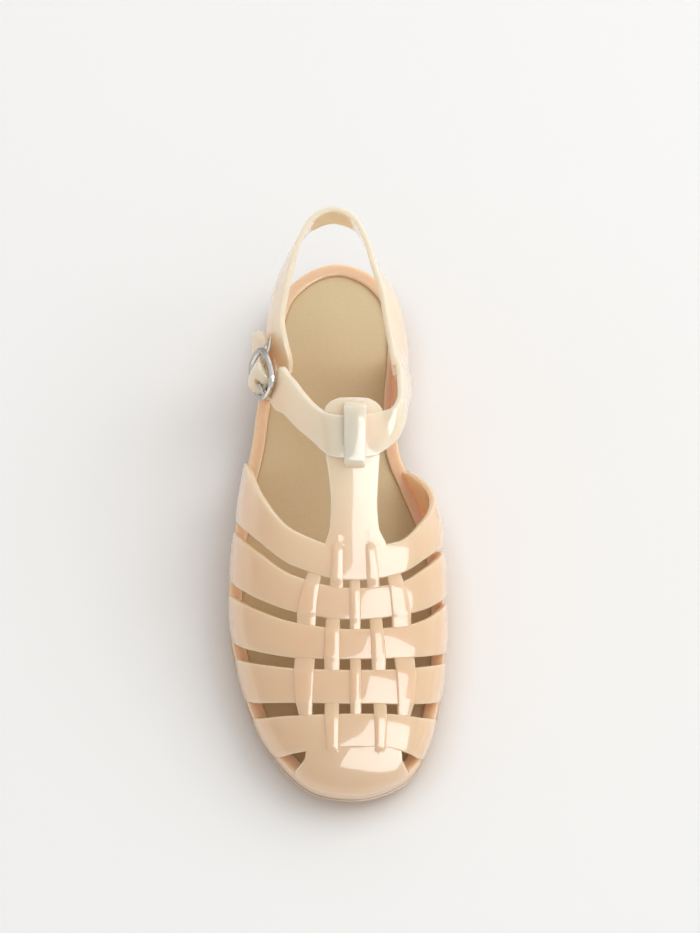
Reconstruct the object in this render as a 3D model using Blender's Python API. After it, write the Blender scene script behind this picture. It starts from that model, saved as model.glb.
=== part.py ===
"""Right-foot jelly sandal: a moulded cage upper on a low-heeled sole, with a buckled ankle strap.

Frame: +Z up, toe towards -Y, medial side towards +X. The origin is on the floor,
in the middle of the heel's flat tread.
"""
import bpy
import bmesh
import numpy as np
from math import pi
from mathutils import Matrix

# Driving sizes, in metres
LENGTH = 0.2494            # outsole, heel back to toe tip
BALL_WIDTH = 0.0932        # outsole at the ball
HEEL_BACK = 0.0308         # heel back behind the origin
SOLE_HEIGHT = 0.0235       # floor to the top of the rim at the heel
UPPER_HEIGHT = 0.0645      # rim top at the heel to the heel strap's top edge
SEAM_GAP = 0.0003          # between pieces that touch
OUTSOLE_PROUD = 0.0006     # outsole ledge past the rim band
RIM_WIDTH = 0.0056         # rim band round the insole
INSOLE_SUNK = 0.0020       # insole below the rim's top
INSOLE_THICK = 0.0028
STRAP_WALL = 0.0023        # cross straps, T-bar and cap
STRIP_WALL = 0.0021        # lengthwise strips
ANKLE_WALL = 0.0024        # heel strap and ankle strap
QUARTER_WALL = 0.0030
EDGE_ROUND = 0.0006        # rounding of a strap's long edges
WEAVE_RISE = 0.0010        # a strip's middle above a strap it crosses over
WEAVE_DIP = 0.0007         # and below one that it passes under
WEAVE_NEAR = 0.75          # a strip keeps its height over this share of a strap's half width
WEAVE_FADE = 0.60          # and leaves it over this further share
FOOT_SINK = 0.0030         # strap feet sunk into the rim band
TOE_SETBACK = 0.0017       # cage's foot behind the toe tip
TOE_ROUND = 0.0255         # length of the cap's rounded nose
SECTION_POWER = 2.5        # squareness of the instep's cross-section
NOSE_POWER = 2.6           # squareness of the cap's nose
SWELL_SCALE = 16 / 27 ** 0.5  # brings the peak of sine cubed times cosine to one
TURN_STEP = 0.004          # steps beside a point of the cage, to find its normal
ALONG_STEP = 0.0002
TIP_REACH = 0.985          # share of the way to the tip of the cap's last row
LOOP_WALL = 0.0018
LOOP_WIDTH = 0.0082
LOOP_CLEARANCE = 0.0004    # ankle strap in the keeper loop
STRAP_WIDTH = 0.0132       # ankle strap at the buckle
TREAD_CHAMFER = 0.0015
TREAD_TUCK = 0.0022        # tread inside the outline
SIDE_TUCK = 0.0007         # foot of the sole's side inside the outline
GROOVE_DEPTH = 0.0015
GROOVE_WIDTH = 0.0025
GROOVE_PITCH = 0.0090
BUCKLE_LENGTH = 0.0207     # ring, along the strap
BUCKLE_WIDTH = 0.0202      # ring, across the strap
BUCKLE_WIRE = 0.0012       # radius
PRONG_WIRE = 0.0008        # radius
RING_SQUARE = 0.76         # 1 is an ellipse, smaller is squarer
HOLE_RADIUS = 0.0016       # holes in the ankle strap
HALF_BALL = BALL_WIDTH / 2
STATIONS = 32              # along the sole
SHARP_ANGLE = 0.6

# Outline: share of the length, lateral and medial edge as shares of half the ball width
OUTLINE = (
    (0.000, -0.011, -0.011),
    (0.010, -0.227, 0.213),
    (0.034, -0.414, 0.397),
    (0.076, -0.580, 0.547),
    (0.136, -0.662, 0.617),
    (0.212, -0.705, 0.601),
    (0.292, -0.780, 0.565),
    (0.365, -0.825, 0.583),
    (0.437, -0.901, 0.715),
    (0.506, -0.955, 0.859),
    (0.575, -0.993, 0.958),
    (0.647, -1.009, 0.991),
    (0.712, -0.985, 0.997),
    (0.784, -0.903, 0.973),
    (0.848, -0.793, 0.914),
    (0.900, -0.664, 0.837),
    (0.945, -0.488, 0.731),
    (0.973, -0.340, 0.592),
    (0.991, -0.180, 0.402),
    (1.000, 0.145, 0.145),
)
# Levels: share of the length, then shares of the sole height: tread, seam, rim top
LEVELS = (
    (0.000, 0.000, 0.553, 1.000),
    (0.200, 0.000, 0.553, 1.000),
    (0.245, 0.000, 0.545, 0.960),
    (0.275, 0.310, 0.535, 0.925),
    (0.400, 0.260, 0.470, 0.830),
    (0.530, 0.000, 0.370, 0.745),
    (0.650, 0.000, 0.280, 0.685),
    (0.720, 0.000, 0.270, 0.670),
    (0.850, 0.085, 0.315, 0.680),
    (0.930, 0.165, 0.375, 0.735),
    (1.000, 0.270, 0.455, 0.815),
)
# Grooved treads of the heel and the forefoot: start and end as shares of the length, width
# as a share of half the ball width
TREADS = ((0.055, 0.225, 0.56), (0.545, 0.710, 1.07))
# Crest of the cage and T-bar: share of the length, height above the heel's rim as a share
# of the upper height, place across as a share of half the ball width
CREST = (
    (0.365, 1.062, 0.161),
    (0.405, 1.023, 0.161),
    (0.470, 0.930, 0.161),
    (0.530, 0.806, 0.161),
    (0.578, 0.705, 0.161),
    (0.623, 0.609, 0.161),
    (0.675, 0.504, 0.161),
    (0.727, 0.411, 0.163),
    (0.780, 0.333, 0.167),
    (0.836, 0.256, 0.176),
    (0.888, 0.191, 0.185),
    (0.928, 0.138, 0.189),
    (0.969, 0.085, 0.165),
    (1.000, 0.042, 0.140),
)
# Cage foot inside the outline: share of the length, then shares of the rim's width for the
# lateral foot, the medial foot and the medial side's swell
FEET = (
    (0.30, 0.446, 0.446, 0.089),
    (0.40, 0.429, 0.357, 0.446),
    (0.50, 0.393, 0.286, 0.571),
    (0.60, 0.339, 0.250, 0.286),
    (0.72, 0.321, 0.232, 0.107),
    (0.80, 0.250, 0.250, 0.071),
    (0.90, 0.161, 0.179, 0.036),
    (0.95, 0.107, 0.089, 0.018),
    (1.00, 0.000, 0.000, 0.000),
)
# Cross straps: rear edge and front edge as shares of the length, at these places
# round the section, from the lateral foot (-1) over the crest (0) to the medial foot (1)
ROUND = (-1.0, -0.75, -0.5, -0.25, 0.0, 0.25, 0.5, 0.75, 1.0)
CROSS_STRAPS = {
    "strap_1": ((0.403, 0.454, 0.534, 0.602, 0.629, 0.617, 0.570, 0.500, 0.407),
                (0.504, 0.552, 0.603, 0.654, 0.678, 0.665, 0.629, 0.588, 0.552)),
    "strap_2": ((0.524, 0.572, 0.621, 0.668, 0.689, 0.678, 0.644, 0.601, 0.560),
                (0.611, 0.653, 0.693, 0.723, 0.737, 0.728, 0.708, 0.675, 0.643)),
    "strap_3": ((0.638, 0.676, 0.712, 0.739, 0.751, 0.745, 0.724, 0.689, 0.653),
                (0.720, 0.755, 0.779, 0.794, 0.798, 0.794, 0.784, 0.767, 0.743)),
    "strap_4": ((0.753, 0.779, 0.798, 0.810, 0.814, 0.811, 0.800, 0.784, 0.761),
                (0.828, 0.848, 0.858, 0.864, 0.867, 0.866, 0.860, 0.848, 0.829)),
    "strap_5": ((0.858, 0.873, 0.879, 0.882, 0.882, 0.881, 0.880, 0.874, 0.860),
                (0.927, 0.935, 0.936, 0.935, 0.933, 0.933, 0.936, 0.938, 0.932)),
}
# Toe cap's rear edge: place round the section, share of the length
CAP_REAR = ((-1.00, 0.960), (-0.71, 0.956), (-0.56, 0.951), (-0.47, 0.944), (-0.41, 0.933),
            (-0.25, 0.928), (0.00, 0.927), (0.25, 0.927), (0.41, 0.931), (0.49, 0.944),
            (0.56, 0.950), (0.73, 0.957), (1.00, 0.960))
# Lengthwise strips: share of the length, lateral and medial edge across; over the even or
# the odd cross straps
STRIPS = {
    "strip_a": ("even", ((0.655, -0.240, -0.120), (0.727, -0.348, -0.180),
                         (0.804, -0.373, -0.195), (0.856, -0.356, -0.208),
                         (0.900, -0.310, -0.223))),
    "strip_b": ("odd", ((0.611, -0.034, 0.056), (0.683, -0.060, 0.058),
                        (0.743, -0.099, 0.028), (0.804, -0.112, 0.026),
                        (0.872, -0.107, 0.021), (0.938, -0.082, 0.017))),
    "strip_c": ("even", ((0.655, 0.112, 0.204), (0.767, 0.114, 0.212), (0.900, 0.120, 0.217))),
    "strip_d": ("odd", ((0.603, 0.245, 0.322), (0.683, 0.264, 0.376),
                        (0.743, 0.290, 0.403), (0.804, 0.305, 0.431),
                        (0.872, 0.322, 0.438), (0.944, 0.335, 0.421))),
    "strip_e": ("even", ((0.645, 0.425, 0.535), (0.727, 0.479, 0.642),
                         (0.804, 0.511, 0.682), (0.856, 0.524, 0.665),
                         (0.900, 0.545, 0.622))),
}
# T-bar: share of the length, lateral and medial edge across
T_BAR = (
    (0.409, 0.020, 0.280),
    (0.414, -0.056, 0.350),
    (0.425, -0.105, 0.392),
    (0.450, -0.116, 0.397),
    (0.490, -0.099, 0.373),
    (0.530, -0.067, 0.361),
    (0.562, -0.052, 0.354),
    (0.599, -0.064, 0.369),
    (0.623, -0.103, 0.433),
    (0.651, -0.129, 0.461),
)
# Keeper loop: share of the length, share of its full height over the T-bar
LOOP = ((0.418, 0.0), (0.422, 0.55), (0.429, 0.95), (0.440, 1.0), (0.492, 1.0), (0.502, 0.95),
        (0.508, 0.55), (0.512, 0.0))
LOOP_ACROSS = 0.154
# Points in the air: a share of the length from the heel back, a share of half the ball width
# across, and a share of the upper height up. A ribbon's row has a point on each of its edges.
ANKLE_MIDDLE = (0.30, 0.0, 0.6)
HEEL_STRAP = (
    ((0.320, -0.425, 0.690), (0.320, -0.640, 0.480)),
    ((0.306, -0.418, 0.765), (0.300, -0.640, 0.560)),
    ((0.284, -0.455, 0.838), (0.269, -0.640, 0.635)),
    ((0.245, -0.494, 0.885), (0.224, -0.625, 0.674)),
    ((0.192, -0.455, 0.916), (0.172, -0.580, 0.709)),
    ((0.144, -0.405, 0.946), (0.126, -0.505, 0.733)),
    ((0.092, -0.325, 0.977), (0.082, -0.385, 0.761)),
    ((0.056, -0.210, 0.994), (0.050, -0.245, 0.777)),
    ((0.043, -0.041, 1.000), (0.036, -0.043, 0.783)),
    ((0.056, 0.133, 0.994), (0.050, 0.167, 0.777)),
    ((0.090, 0.240, 0.977), (0.082, 0.280, 0.761)),
    ((0.144, 0.325, 0.946), (0.126, 0.385, 0.733)),
    ((0.192, 0.395, 0.916), (0.172, 0.525, 0.709)),
    ((0.245, 0.440, 0.888), (0.224, 0.592, 0.674)),
    ((0.289, 0.480, 0.891), (0.269, 0.625, 0.636)),
    ((0.333, 0.515, 0.907), (0.309, 0.628, 0.581)),
)
LATERAL_QUARTER = (
    ((0.277, -0.668, -0.085), (0.164, -0.614, -0.085)),
    ((0.285, -0.684, 0.163), (0.188, -0.638, 0.163)),
    ((0.305, -0.680, 0.411), (0.208, -0.640, 0.411)),
    ((0.330, -0.640, 0.597), (0.216, -0.610, 0.597)),
    ((0.326, -0.512, 0.690), (0.219, -0.610, 0.690)),
)
MEDIAL_QUARTER = (
    ((0.321, 0.519, -0.085), (0.180, 0.554, -0.085)),
    ((0.327, 0.575, 0.163), (0.200, 0.580, 0.163)),
    ((0.335, 0.618, 0.411), (0.220, 0.595, 0.411)),
    ((0.349, 0.640, 0.597), (0.224, 0.570, 0.597)),
    ((0.357, 0.612, 0.752), (0.220, 0.505, 0.729)),
    ((0.349, 0.530, 0.891), (0.245, 0.455, 0.853)),
)
ANKLE_MEDIAL = (
    ((0.309, 0.506, 0.891), (0.317, 0.655, 0.597)),
    ((0.333, 0.543, 0.916), (0.349, 0.653, 0.674)),
    ((0.369, 0.558, 0.953), (0.389, 0.622, 0.752)),
    ((0.405, 0.552, 0.984), (0.438, 0.580, 0.822)),
    ((0.423, 0.502, 1.000), (0.470, 0.505, 0.868)),
)
ANKLE_LATERAL = (
    ((0.418, -0.190, 0.974), (0.462, -0.205, 0.808)),
    ((0.391, -0.298, 0.947), (0.430, -0.342, 0.742)),
    ((0.358, -0.408, 0.908), (0.396, -0.467, 0.682)),
)
# The ankle strap over the T-bar: place across, upper edge and lower edge along
ANKLE_OVER = ((0.375, 0.425, 0.489), (0.161, 0.437, 0.500), (-0.043, 0.434, 0.496))
# In front of the ring, where the strap turns up over the foot: for its upper and lower edge,
# the distances along and up from the ring's middle in ring lengths; height in wire radii
ANKLE_FRONT = (((-0.235, 0.470), (-0.580, -0.251), -2.8), ((-0.275, 0.350), (-0.464, -0.242), -2.75))
# At the buckle: distance along the strap from the ring's middle as a share of the ring's
# length, height over the ring's plane in wire radii, share of the strap's width
ANKLE_BUCKLE = ((-0.33, -2.3, 0.70), (-0.26, 0.35, 0.90), (-0.13, 2.15, 1.04), (0.06, 2.15, 1.04),
                (0.22, 0.35, 0.90), (0.33, -2.3, 0.70), (0.42, -2.7, 0.77), (0.50, -2.8, 0.98),
                (0.66, -2.9, 0.98), (0.81, -3.1, 0.88), (0.94, -3.3, 0.62), (1.00, -3.4, 0.34),
                (1.02, -3.4, 0.18))
# Hook behind the ring: shares of the ring's half length and half width, wire radii outwards
HOOK = ((0.45, 0.94, 0.0), (0.66, 0.95, -1.6), (1.00, 0.97, -3.0), (1.32, 0.98, -4.0))
# Prong: distance along the strap in ring lengths, height in wire radii
PRONG = ((-0.093, -1.0), (-0.150, -1.47), (-0.185, -0.67), (-0.212, 1.53), (-0.277, 2.3),
         (-0.321, 2.3), (-0.500, 1.95))
STRAP_HOLES = (-0.20, 0.27)    # along the strap from the ring's middle, in ring lengths
# Middle of the ring, then the directions along the strap and up across it
BUCKLE_PLACE = (0.326, -0.684, 0.724)
BUCKLE_ALONG = (-0.305, 0.947, -0.090)
BUCKLE_UP = (0.335, 0.213, 0.915)

COLOURS = {
    "outsole": ((0.62, 0.46, 0.32, 1), 0.45, 0.0),
    "upper": ((0.80, 0.66, 0.50, 1), 0.25, 0.0),
    "insole": ((0.57, 0.45, 0.28, 1), 0.60, 0.0),
    "buckle_frame": ((0.75, 0.75, 0.74, 1), 0.12, 1.0),
    "buckle_prong": ((0.75, 0.75, 0.74, 1), 0.12, 1.0),
}


def between(xs, ys, tangent, x):
    """Cubic pieces through points with the given slopes; each end's slope follows its neighbour."""
    step = np.diff(xs)
    slope = np.diff(ys) / step
    tangent[0] = 1.5 * slope[0] - 0.5 * tangent[1]
    tangent[-1] = 1.5 * slope[-1] - 0.5 * tangent[-2]
    i = np.clip(np.searchsorted(xs, x, side="right") - 1, 0, len(xs) - 2)
    t = (x - xs[i]) / step[i]
    return ((2 * t ** 3 - 3 * t ** 2 + 1) * ys[i] + (t ** 3 - 2 * t ** 2 + t) * step[i] * tangent[i]
            + (3 * t ** 2 - 2 * t ** 3) * ys[i + 1] + (t ** 3 - t ** 2) * step[i] * tangent[i + 1])


def smooth(xs, ys, x):
    """Monotone curve through the rows of a table: no overshoot between them."""
    xs = np.asarray(xs, float)
    ys = np.asarray(ys, float)
    x = np.clip(np.asarray(x, float), xs[0], xs[-1])
    step = np.diff(xs)
    slope = np.diff(ys) / step
    turn = slope[:-1] * slope[1:] > 0
    tangent = np.zeros_like(ys)
    mean = 2 * slope[:-1] * slope[1:] / np.where(turn, slope[:-1] + slope[1:], 1)
    tangent[1:-1] = np.where(turn, mean, 0)
    return between(xs, ys, tangent, x)


def column(table, i):
    return np.array([row[i] for row in table])


def share_of(y):
    return (HEEL_BACK - y) / LENGTH


def along(share):
    return HEEL_BACK - share * LENGTH


def outline(share):
    """Lateral and medial edge of the sole at a share of its length."""
    turn = np.arccos(1 - 2 * np.clip(share, 0, 1))
    rows = np.arccos(1 - 2 * column(OUTLINE, 0))
    lateral = smooth(rows, column(OUTLINE, 1), turn) * HALF_BALL
    medial = smooth(rows, column(OUTLINE, 2), turn) * HALF_BALL
    return lateral, medial


def level(which, share):
    """Height of the tread (1), the seam (2) or the rim's top (3)."""
    return smooth(column(LEVELS, 0), column(LEVELS, which), share) * SOLE_HEIGHT


def place(point):
    """A ribbon's point from its shares."""
    share, across, up = point
    return np.array((across * HALF_BALL, along(share), SOLE_HEIGHT + up * UPPER_HEIGHT))


def section(y):
    """Crest place and height, foot places, swell and base of the cage at y."""
    share = share_of(y)
    crest_x = smooth(column(CREST, 0), column(CREST, 2), share) * HALF_BALL
    crest_z = SOLE_HEIGHT + smooth(column(CREST, 0), column(CREST, 1), share) * UPPER_HEIGHT
    lateral, medial = outline((HEEL_BACK - y) / (LENGTH - TOE_SETBACK))
    lateral = lateral + smooth(column(FEET, 0), column(FEET, 1), share) * RIM_WIDTH
    medial = medial - smooth(column(FEET, 0), column(FEET, 2), share) * RIM_WIDTH
    swell = smooth(column(FEET, 0), column(FEET, 3), share) * RIM_WIDTH
    base = level(3, share) - FOOT_SINK
    tip = along(1) + TOE_SETBACK
    nose = np.clip((tip + TOE_ROUND - y) / TOE_ROUND, 0, 1)
    crest_z = base + (crest_z - base) * (1 - nose ** NOSE_POWER) ** (1 / NOSE_POWER)
    return crest_x, crest_z, lateral, medial, swell, base


def cage(y, turn):
    """Point on the cage's middle surface, turn from -1 (lateral foot) to 1 (medial foot)."""
    y, turn = np.broadcast_arrays(np.asarray(y, float), np.asarray(turn, float))
    crest_x, crest_z, lateral, medial, swell, base = section(y)
    angle = np.abs(turn) * pi / 2
    half = np.where(turn < 0, crest_x - lateral, medial - crest_x)
    sine = np.sin(angle)
    cosine = np.clip(np.cos(angle), 0, 1)
    x = crest_x + np.sign(turn) * half * sine ** (2 / SECTION_POWER)
    x = x + np.where(turn > 0, swell, 0) * SWELL_SCALE * sine ** 3 * cosine
    z = base + (crest_z - base) * cosine ** (2 / SECTION_POWER)
    return np.stack((x, y, z), -1)


def turn_at(x, y):
    """Place round the section of a point near the crest."""
    crest_x, crest_z, lateral, medial, swell, base = section(np.asarray(y, float))
    half = np.where(x < crest_x, crest_x - lateral, medial - crest_x)
    side = np.clip(np.abs(x - crest_x) / half, 0, 1)
    return np.sign(x - crest_x) * np.arcsin(side ** (SECTION_POWER / 2)) * 2 / pi


def lifted(y, turn, lift):
    """Point at a height over the cage's middle surface."""
    y, turn, lift = np.broadcast_arrays(y, turn, lift)
    low = np.clip(turn - TURN_STEP, -1, 1)
    high = np.clip(turn + TURN_STEP, -1, 1)
    side = cage(y, high) - cage(y, low)
    ahead = cage(y + ALONG_STEP, turn) - cage(y - ALONG_STEP, turn)
    normal = np.cross(side, ahead)
    normal = normal / np.linalg.norm(normal, axis=-1, keepdims=True)
    return cage(y, turn) + normal * lift[..., None]


def lifted_at(x, y, lift):
    x, y = np.broadcast_arrays(np.asarray(x, float), np.asarray(y, float))
    return lifted(y, turn_at(x, y), lift)


def loft(name, rings, caps=True, round_trip=False):
    """Closed mesh through rings of equally many points; its ends capped or joined."""
    rings = np.asarray(rings, float)
    count, sides = rings.shape[:2]
    bm = bmesh.new()
    grid = [[bm.verts.new(p) for p in ring] for ring in rings]
    spans = count if round_trip else count - 1
    for i in range(spans):
        a = grid[i]
        b = grid[(i + 1) % count]
        for j in range(sides):
            k = (j + 1) % sides
            bm.faces.new((a[j], a[k], b[k], b[j]))
    if caps and not round_trip:
        bm.faces.new(grid[0][::-1])
        bm.faces.new(grid[-1])
    return finish_mesh(name, bm)


def finish_mesh(name, bm):
    bmesh.ops.remove_doubles(bm, verts=bm.verts, dist=1e-7)
    bmesh.ops.recalc_face_normals(bm, faces=bm.faces)
    mesh = bpy.data.meshes.new(name)
    bm.to_mesh(mesh)
    bm.free()
    piece = bpy.data.objects.new(name, mesh)
    parts.objects.link(piece)
    return piece


def band_section(near, far, normal_out, wall):
    """Eight points round a band's section between two edges, long edges rounded outside."""
    near = np.asarray(near, float)
    far = np.asarray(far, float)
    middle = (near + far) / 2
    edge = EDGE_ROUND * (far - near) / np.linalg.norm(far - near, axis=-1, keepdims=True)
    out = normal_out * wall / 2
    low = out * (1 - 2 * EDGE_ROUND / wall)
    return np.stack((near - out, near + low, near + edge + out, middle + out,
                     far - edge + out, far + low, far - out, middle - out), -2)


def band_places(start, end, wall):
    """Eight places round a band's section: position between its edges and height."""
    middle = (start + end) / 2
    edge = EDGE_ROUND * np.sign(end - start)
    shoulder = wall / 2 - EDGE_ROUND
    return ((start, -wall / 2), (start, shoulder), (start + edge, wall / 2), (middle, wall / 2),
            (end - edge, wall / 2), (end, shoulder), (end, -wall / 2), (middle, -wall / 2))


def cage_band(name, turns, rear, front, wall):
    """Band on the cage between a rear and a front edge, tabled round the section."""
    places = band_places(rear, front, wall)
    rings = np.stack([lifted(y, turns, height) for y, height in places], 1)
    return loft(name, rings)


def cross_strap(name, edges):
    turns = np.linspace(-1, 1, 25)
    rear = along(smooth(ROUND, edges[0], turns))
    front = along(smooth(ROUND, edges[1], turns))
    return cage_band(name, turns, rear, front, STRAP_WALL)


def weave_lift(share, x, kind):
    """Height of a strip: over its own cross straps and under the others."""
    y = along(share)
    turn = turn_at(x, y)
    lift = np.zeros_like(share)
    for number, edges in enumerate(CROSS_STRAPS.values(), 1):
        rear = smooth(ROUND, edges[0], turn)
        front = smooth(ROUND, edges[1], turn)
        half = (front - rear) / 2
        away = np.abs(share - (front + rear) / 2) / half
        near = 1 - np.clip((away - WEAVE_NEAR) / WEAVE_FADE, 0, 1)
        blend = near * near * (3 - 2 * near)
        over = (number % 2 == 0) == (kind == "even")
        lift = lift + blend * (WEAVE_RISE if over else -WEAVE_DIP)
    return lift


def strip(name, kind, rows):
    shares = np.linspace(rows[0][0], rows[-1][0], 6 * len(rows))
    left = smooth(column(rows, 0), column(rows, 1), shares) * HALF_BALL
    right = smooth(column(rows, 0), column(rows, 2), shares) * HALF_BALL
    lift = weave_lift(shares, (left + right) / 2, kind)
    return crest_band(name, shares, left, right, STRIP_WALL, lift)


def crest_band(name, shares, left, right, wall, lift):
    """Band along the crest between a lateral and a medial edge."""
    y = along(shares)
    places = band_places(left, right, wall)
    rings = np.stack([lifted_at(x, y, lift + height) for x, height in places], 1)
    return loft(name, rings)


def toe_cap():
    """Closed cap over the toes, from its rear edge to the tip, as one wall."""
    turns = np.linspace(-1, 1, 25)
    rear = along(smooth(column(CAP_REAR, 0), column(CAP_REAR, 1), turns))
    tip = along(1) + TOE_SETBACK
    steps = np.sin(np.linspace(0, TIP_REACH, 10) * pi / 2)
    bm = bmesh.new()
    skins = []
    for lift in (STRAP_WALL / 2, -STRAP_WALL / 2):
        skin = []
        for s in steps:
            points = lifted(rear + (tip - rear) * s, turns, lift)
            skin.append([bm.verts.new(p) for p in points])
        skins.append(skin)
    outer, inner = skins
    for i in range(len(steps) - 1):
        for j in range(len(turns) - 1):
            bm.faces.new((outer[i][j], outer[i][j + 1], outer[i + 1][j + 1], outer[i + 1][j]))
            bm.faces.new((inner[i][j], inner[i + 1][j], inner[i + 1][j + 1], inner[i][j + 1]))
    for row in (0, -1):
        for j in range(len(turns) - 1):
            bm.faces.new((outer[row][j], inner[row][j], inner[row][j + 1], outer[row][j + 1]))
    for side in (0, -1):
        for i in range(len(steps) - 1):
            bm.faces.new((outer[i][side], outer[i + 1][side], inner[i + 1][side], inner[i][side]))
    return finish_mesh("cap", bm)


def keeper_loop():
    """Band that stands over the T-bar, with the ankle strap's thickness and clearance under it."""
    rise = STRAP_WALL / 2 + ANKLE_WALL + 2 * LOOP_CLEARANCE + LOOP_WALL / 2
    rows = np.array(LOOP)
    shares = rows[:, 0]
    lift = rows[:, 1] * rise
    slope = np.gradient(lift, along(shares))
    lean = 1 / np.sqrt(1 + slope ** 2)
    rings = []
    for share, height, tilt, cosine in zip(shares, lift, slope, lean):
        ring = []
        for x_side, z_side in ((-1, -1), (-1, 1), (1, 1), (1, -1)):
            shift = z_side * LOOP_WALL / 2
            y = along(share) - tilt * cosine * shift
            x = LOOP_ACROSS * HALF_BALL + x_side * LOOP_WIDTH / 2
            ring.append(lifted_at(x, y, height + cosine * shift))
        rings.append(ring)
    return loft("loop", rings)


def ribbon(name, upper, lower, wall, count, inside):
    """Band in the air between two edge curves, its inner side towards a point inside."""
    upper = np.asarray(upper, float)
    lower = np.asarray(lower, float)
    middle = (upper + lower) / 2
    steps = np.r_[0, np.cumsum(np.linalg.norm(np.diff(middle, axis=0), axis=1))]
    where = np.linspace(0, steps[-1], count)
    up = np.stack([curve(steps, upper[:, k], where) for k in range(3)], -1)
    low = np.stack([curve(steps, lower[:, k], where) for k in range(3)], -1)
    run = np.gradient((up + low) / 2, axis=0)
    normal = np.cross(run, up - low)
    normal = normal / np.linalg.norm(normal, axis=-1, keepdims=True)
    if np.sum(normal * ((up + low) / 2 - inside)) < 0:
        normal = -normal
    return loft(name, band_section(low, up, normal, wall))


def curve(xs, ys, x):
    """Smooth curve through points, free to swing between them."""
    step = np.diff(xs)
    slope = np.diff(ys) / step
    tangent = np.empty_like(ys)
    tangent[1:-1] = (slope[:-1] * step[1:] + slope[1:] * step[:-1]) / (step[:-1] + step[1:])
    return between(xs, ys, tangent, x)


def unit(v):
    v = np.asarray(v, float)
    return v / np.linalg.norm(v)


def buckle_axes():
    """Along the strap, up across it, and outwards, at the buckle."""
    run = unit(BUCKLE_ALONG)
    out = unit(np.cross(BUCKLE_UP, run))
    up = np.cross(run, out)
    return place(BUCKLE_PLACE), run, up, out


def at_buckle(run_step, up_step, out_step):
    centre, run, up, out = buckle_axes()
    return centre + run * run_step + up * up_step + out * out_step


def ankle_strap():
    upper = [place(row[0]) for row in ANKLE_MEDIAL]
    lower = [place(row[1]) for row in ANKLE_MEDIAL]
    lift = STRAP_WALL / 2 + LOOP_CLEARANCE + ANKLE_WALL / 2
    for across, up_share, low_share in ANKLE_OVER:
        upper.append(lifted_at(across * HALF_BALL, along(up_share), lift))
        lower.append(lifted_at(across * HALF_BALL, along(low_share), lift))
    for row in ANKLE_LATERAL:
        upper.append(place(row[0]))
        lower.append(place(row[1]))
    for high, deep, out in ANKLE_FRONT:
        for edge, (run, rise) in ((upper, high), (lower, deep)):
            edge.append(at_buckle(run * BUCKLE_LENGTH, rise * BUCKLE_LENGTH, out * BUCKLE_WIRE))
    for run, out, width in ANKLE_BUCKLE:
        half = width * STRAP_WIDTH / 2
        upper.append(at_buckle(run * BUCKLE_LENGTH, half, out * BUCKLE_WIRE))
        lower.append(at_buckle(run * BUCKLE_LENGTH, -half, out * BUCKLE_WIRE))
    return pierced(ribbon("ankle", upper, lower, ANKLE_WALL, 48, place(ANKLE_MIDDLE)))


def pierced(piece):
    """The prong's hole and a spare one through the ankle strap."""
    centre, run, up, out = buckle_axes()
    for step in STRAP_HOLES:
        bm = bmesh.new()
        bmesh.ops.create_cone(bm, cap_ends=True, segments=12, radius1=HOLE_RADIUS,
                              radius2=HOLE_RADIUS, depth=6 * ANKLE_WALL)
        axes = Matrix((run, up, out)).transposed().to_4x4()
        spot = Matrix.Translation(at_buckle(step * BUCKLE_LENGTH, 0, 0))
        bmesh.ops.transform(bm, matrix=spot @ axes, verts=bm.verts)
        cutter = finish_mesh("hole", bm)
        piece = combine(piece, cutter, "DIFFERENCE")
    return piece


def table_ribbon(name, rows, wall, count):
    upper = [place(row[0]) for row in rows]
    lower = [place(row[1]) for row in rows]
    return ribbon(name, upper, lower, wall, count, place(ANKLE_MIDDLE))


def sole_ring(inset, height):
    """Closed ring on the outline, set in by a distance, at a height given by the place along."""
    shares = (1 - np.cos(np.linspace(0, pi, STATIONS + 1))) / 2
    lateral, medial = outline(shares)
    y = along(shares)
    ring = np.concatenate((np.stack((lateral, y), -1), np.stack((medial, y), -1)[-2:0:-1]))
    tangent = np.roll(ring, -1, 0) - np.roll(ring, 1, 0)
    tangent = tangent / np.linalg.norm(tangent, axis=1, keepdims=True)
    normal = np.stack((-tangent[:, 1], tangent[:, 0]), -1)
    inward = np.sign(np.sum(normal * (ring.mean(0) - ring), 1).sum())
    ring = ring + normal * inward * inset
    z = height(share_of(ring[:, 1]))
    return np.column_stack((ring, z))


def slab(name, rings):
    """Closed solid through sole rings, from its underside to its top."""
    bm = bmesh.new()
    grid = [[bm.verts.new(p) for p in ring] for ring in rings]
    count = len(rings[0])
    for a, b in zip(grid, grid[1:]):
        for j in range(count):
            k = (j + 1) % count
            bm.faces.new((a[j], a[k], b[k], b[j]))
    for ring in (grid[0], grid[-1]):
        for j in range(count // 2):
            corners = (ring[j], ring[j + 1], ring[-j - 1], ring[-j] if j else ring[0])
            bm.faces.new(list(dict.fromkeys(corners)))
    return finish_mesh(name, bm)


def rim_band():
    seam = lambda s: level(2, s) + SEAM_GAP
    top = lambda s: level(3, s)
    shoulder = lambda s: level(3, s) - EDGE_ROUND
    outer = OUTSOLE_PROUD
    inner = OUTSOLE_PROUD + RIM_WIDTH
    rows = ((outer, seam), (outer, shoulder), (outer + EDGE_ROUND, top), (inner - EDGE_ROUND, top),
            (inner, shoulder), (inner, seam))
    rings = np.array([sole_ring(inset, height) for inset, height in rows])
    return loft("rim", rings, round_trip=True)


def plateau(share):
    return level(3, share) - INSOLE_SUNK - INSOLE_THICK - SEAM_GAP


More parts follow.
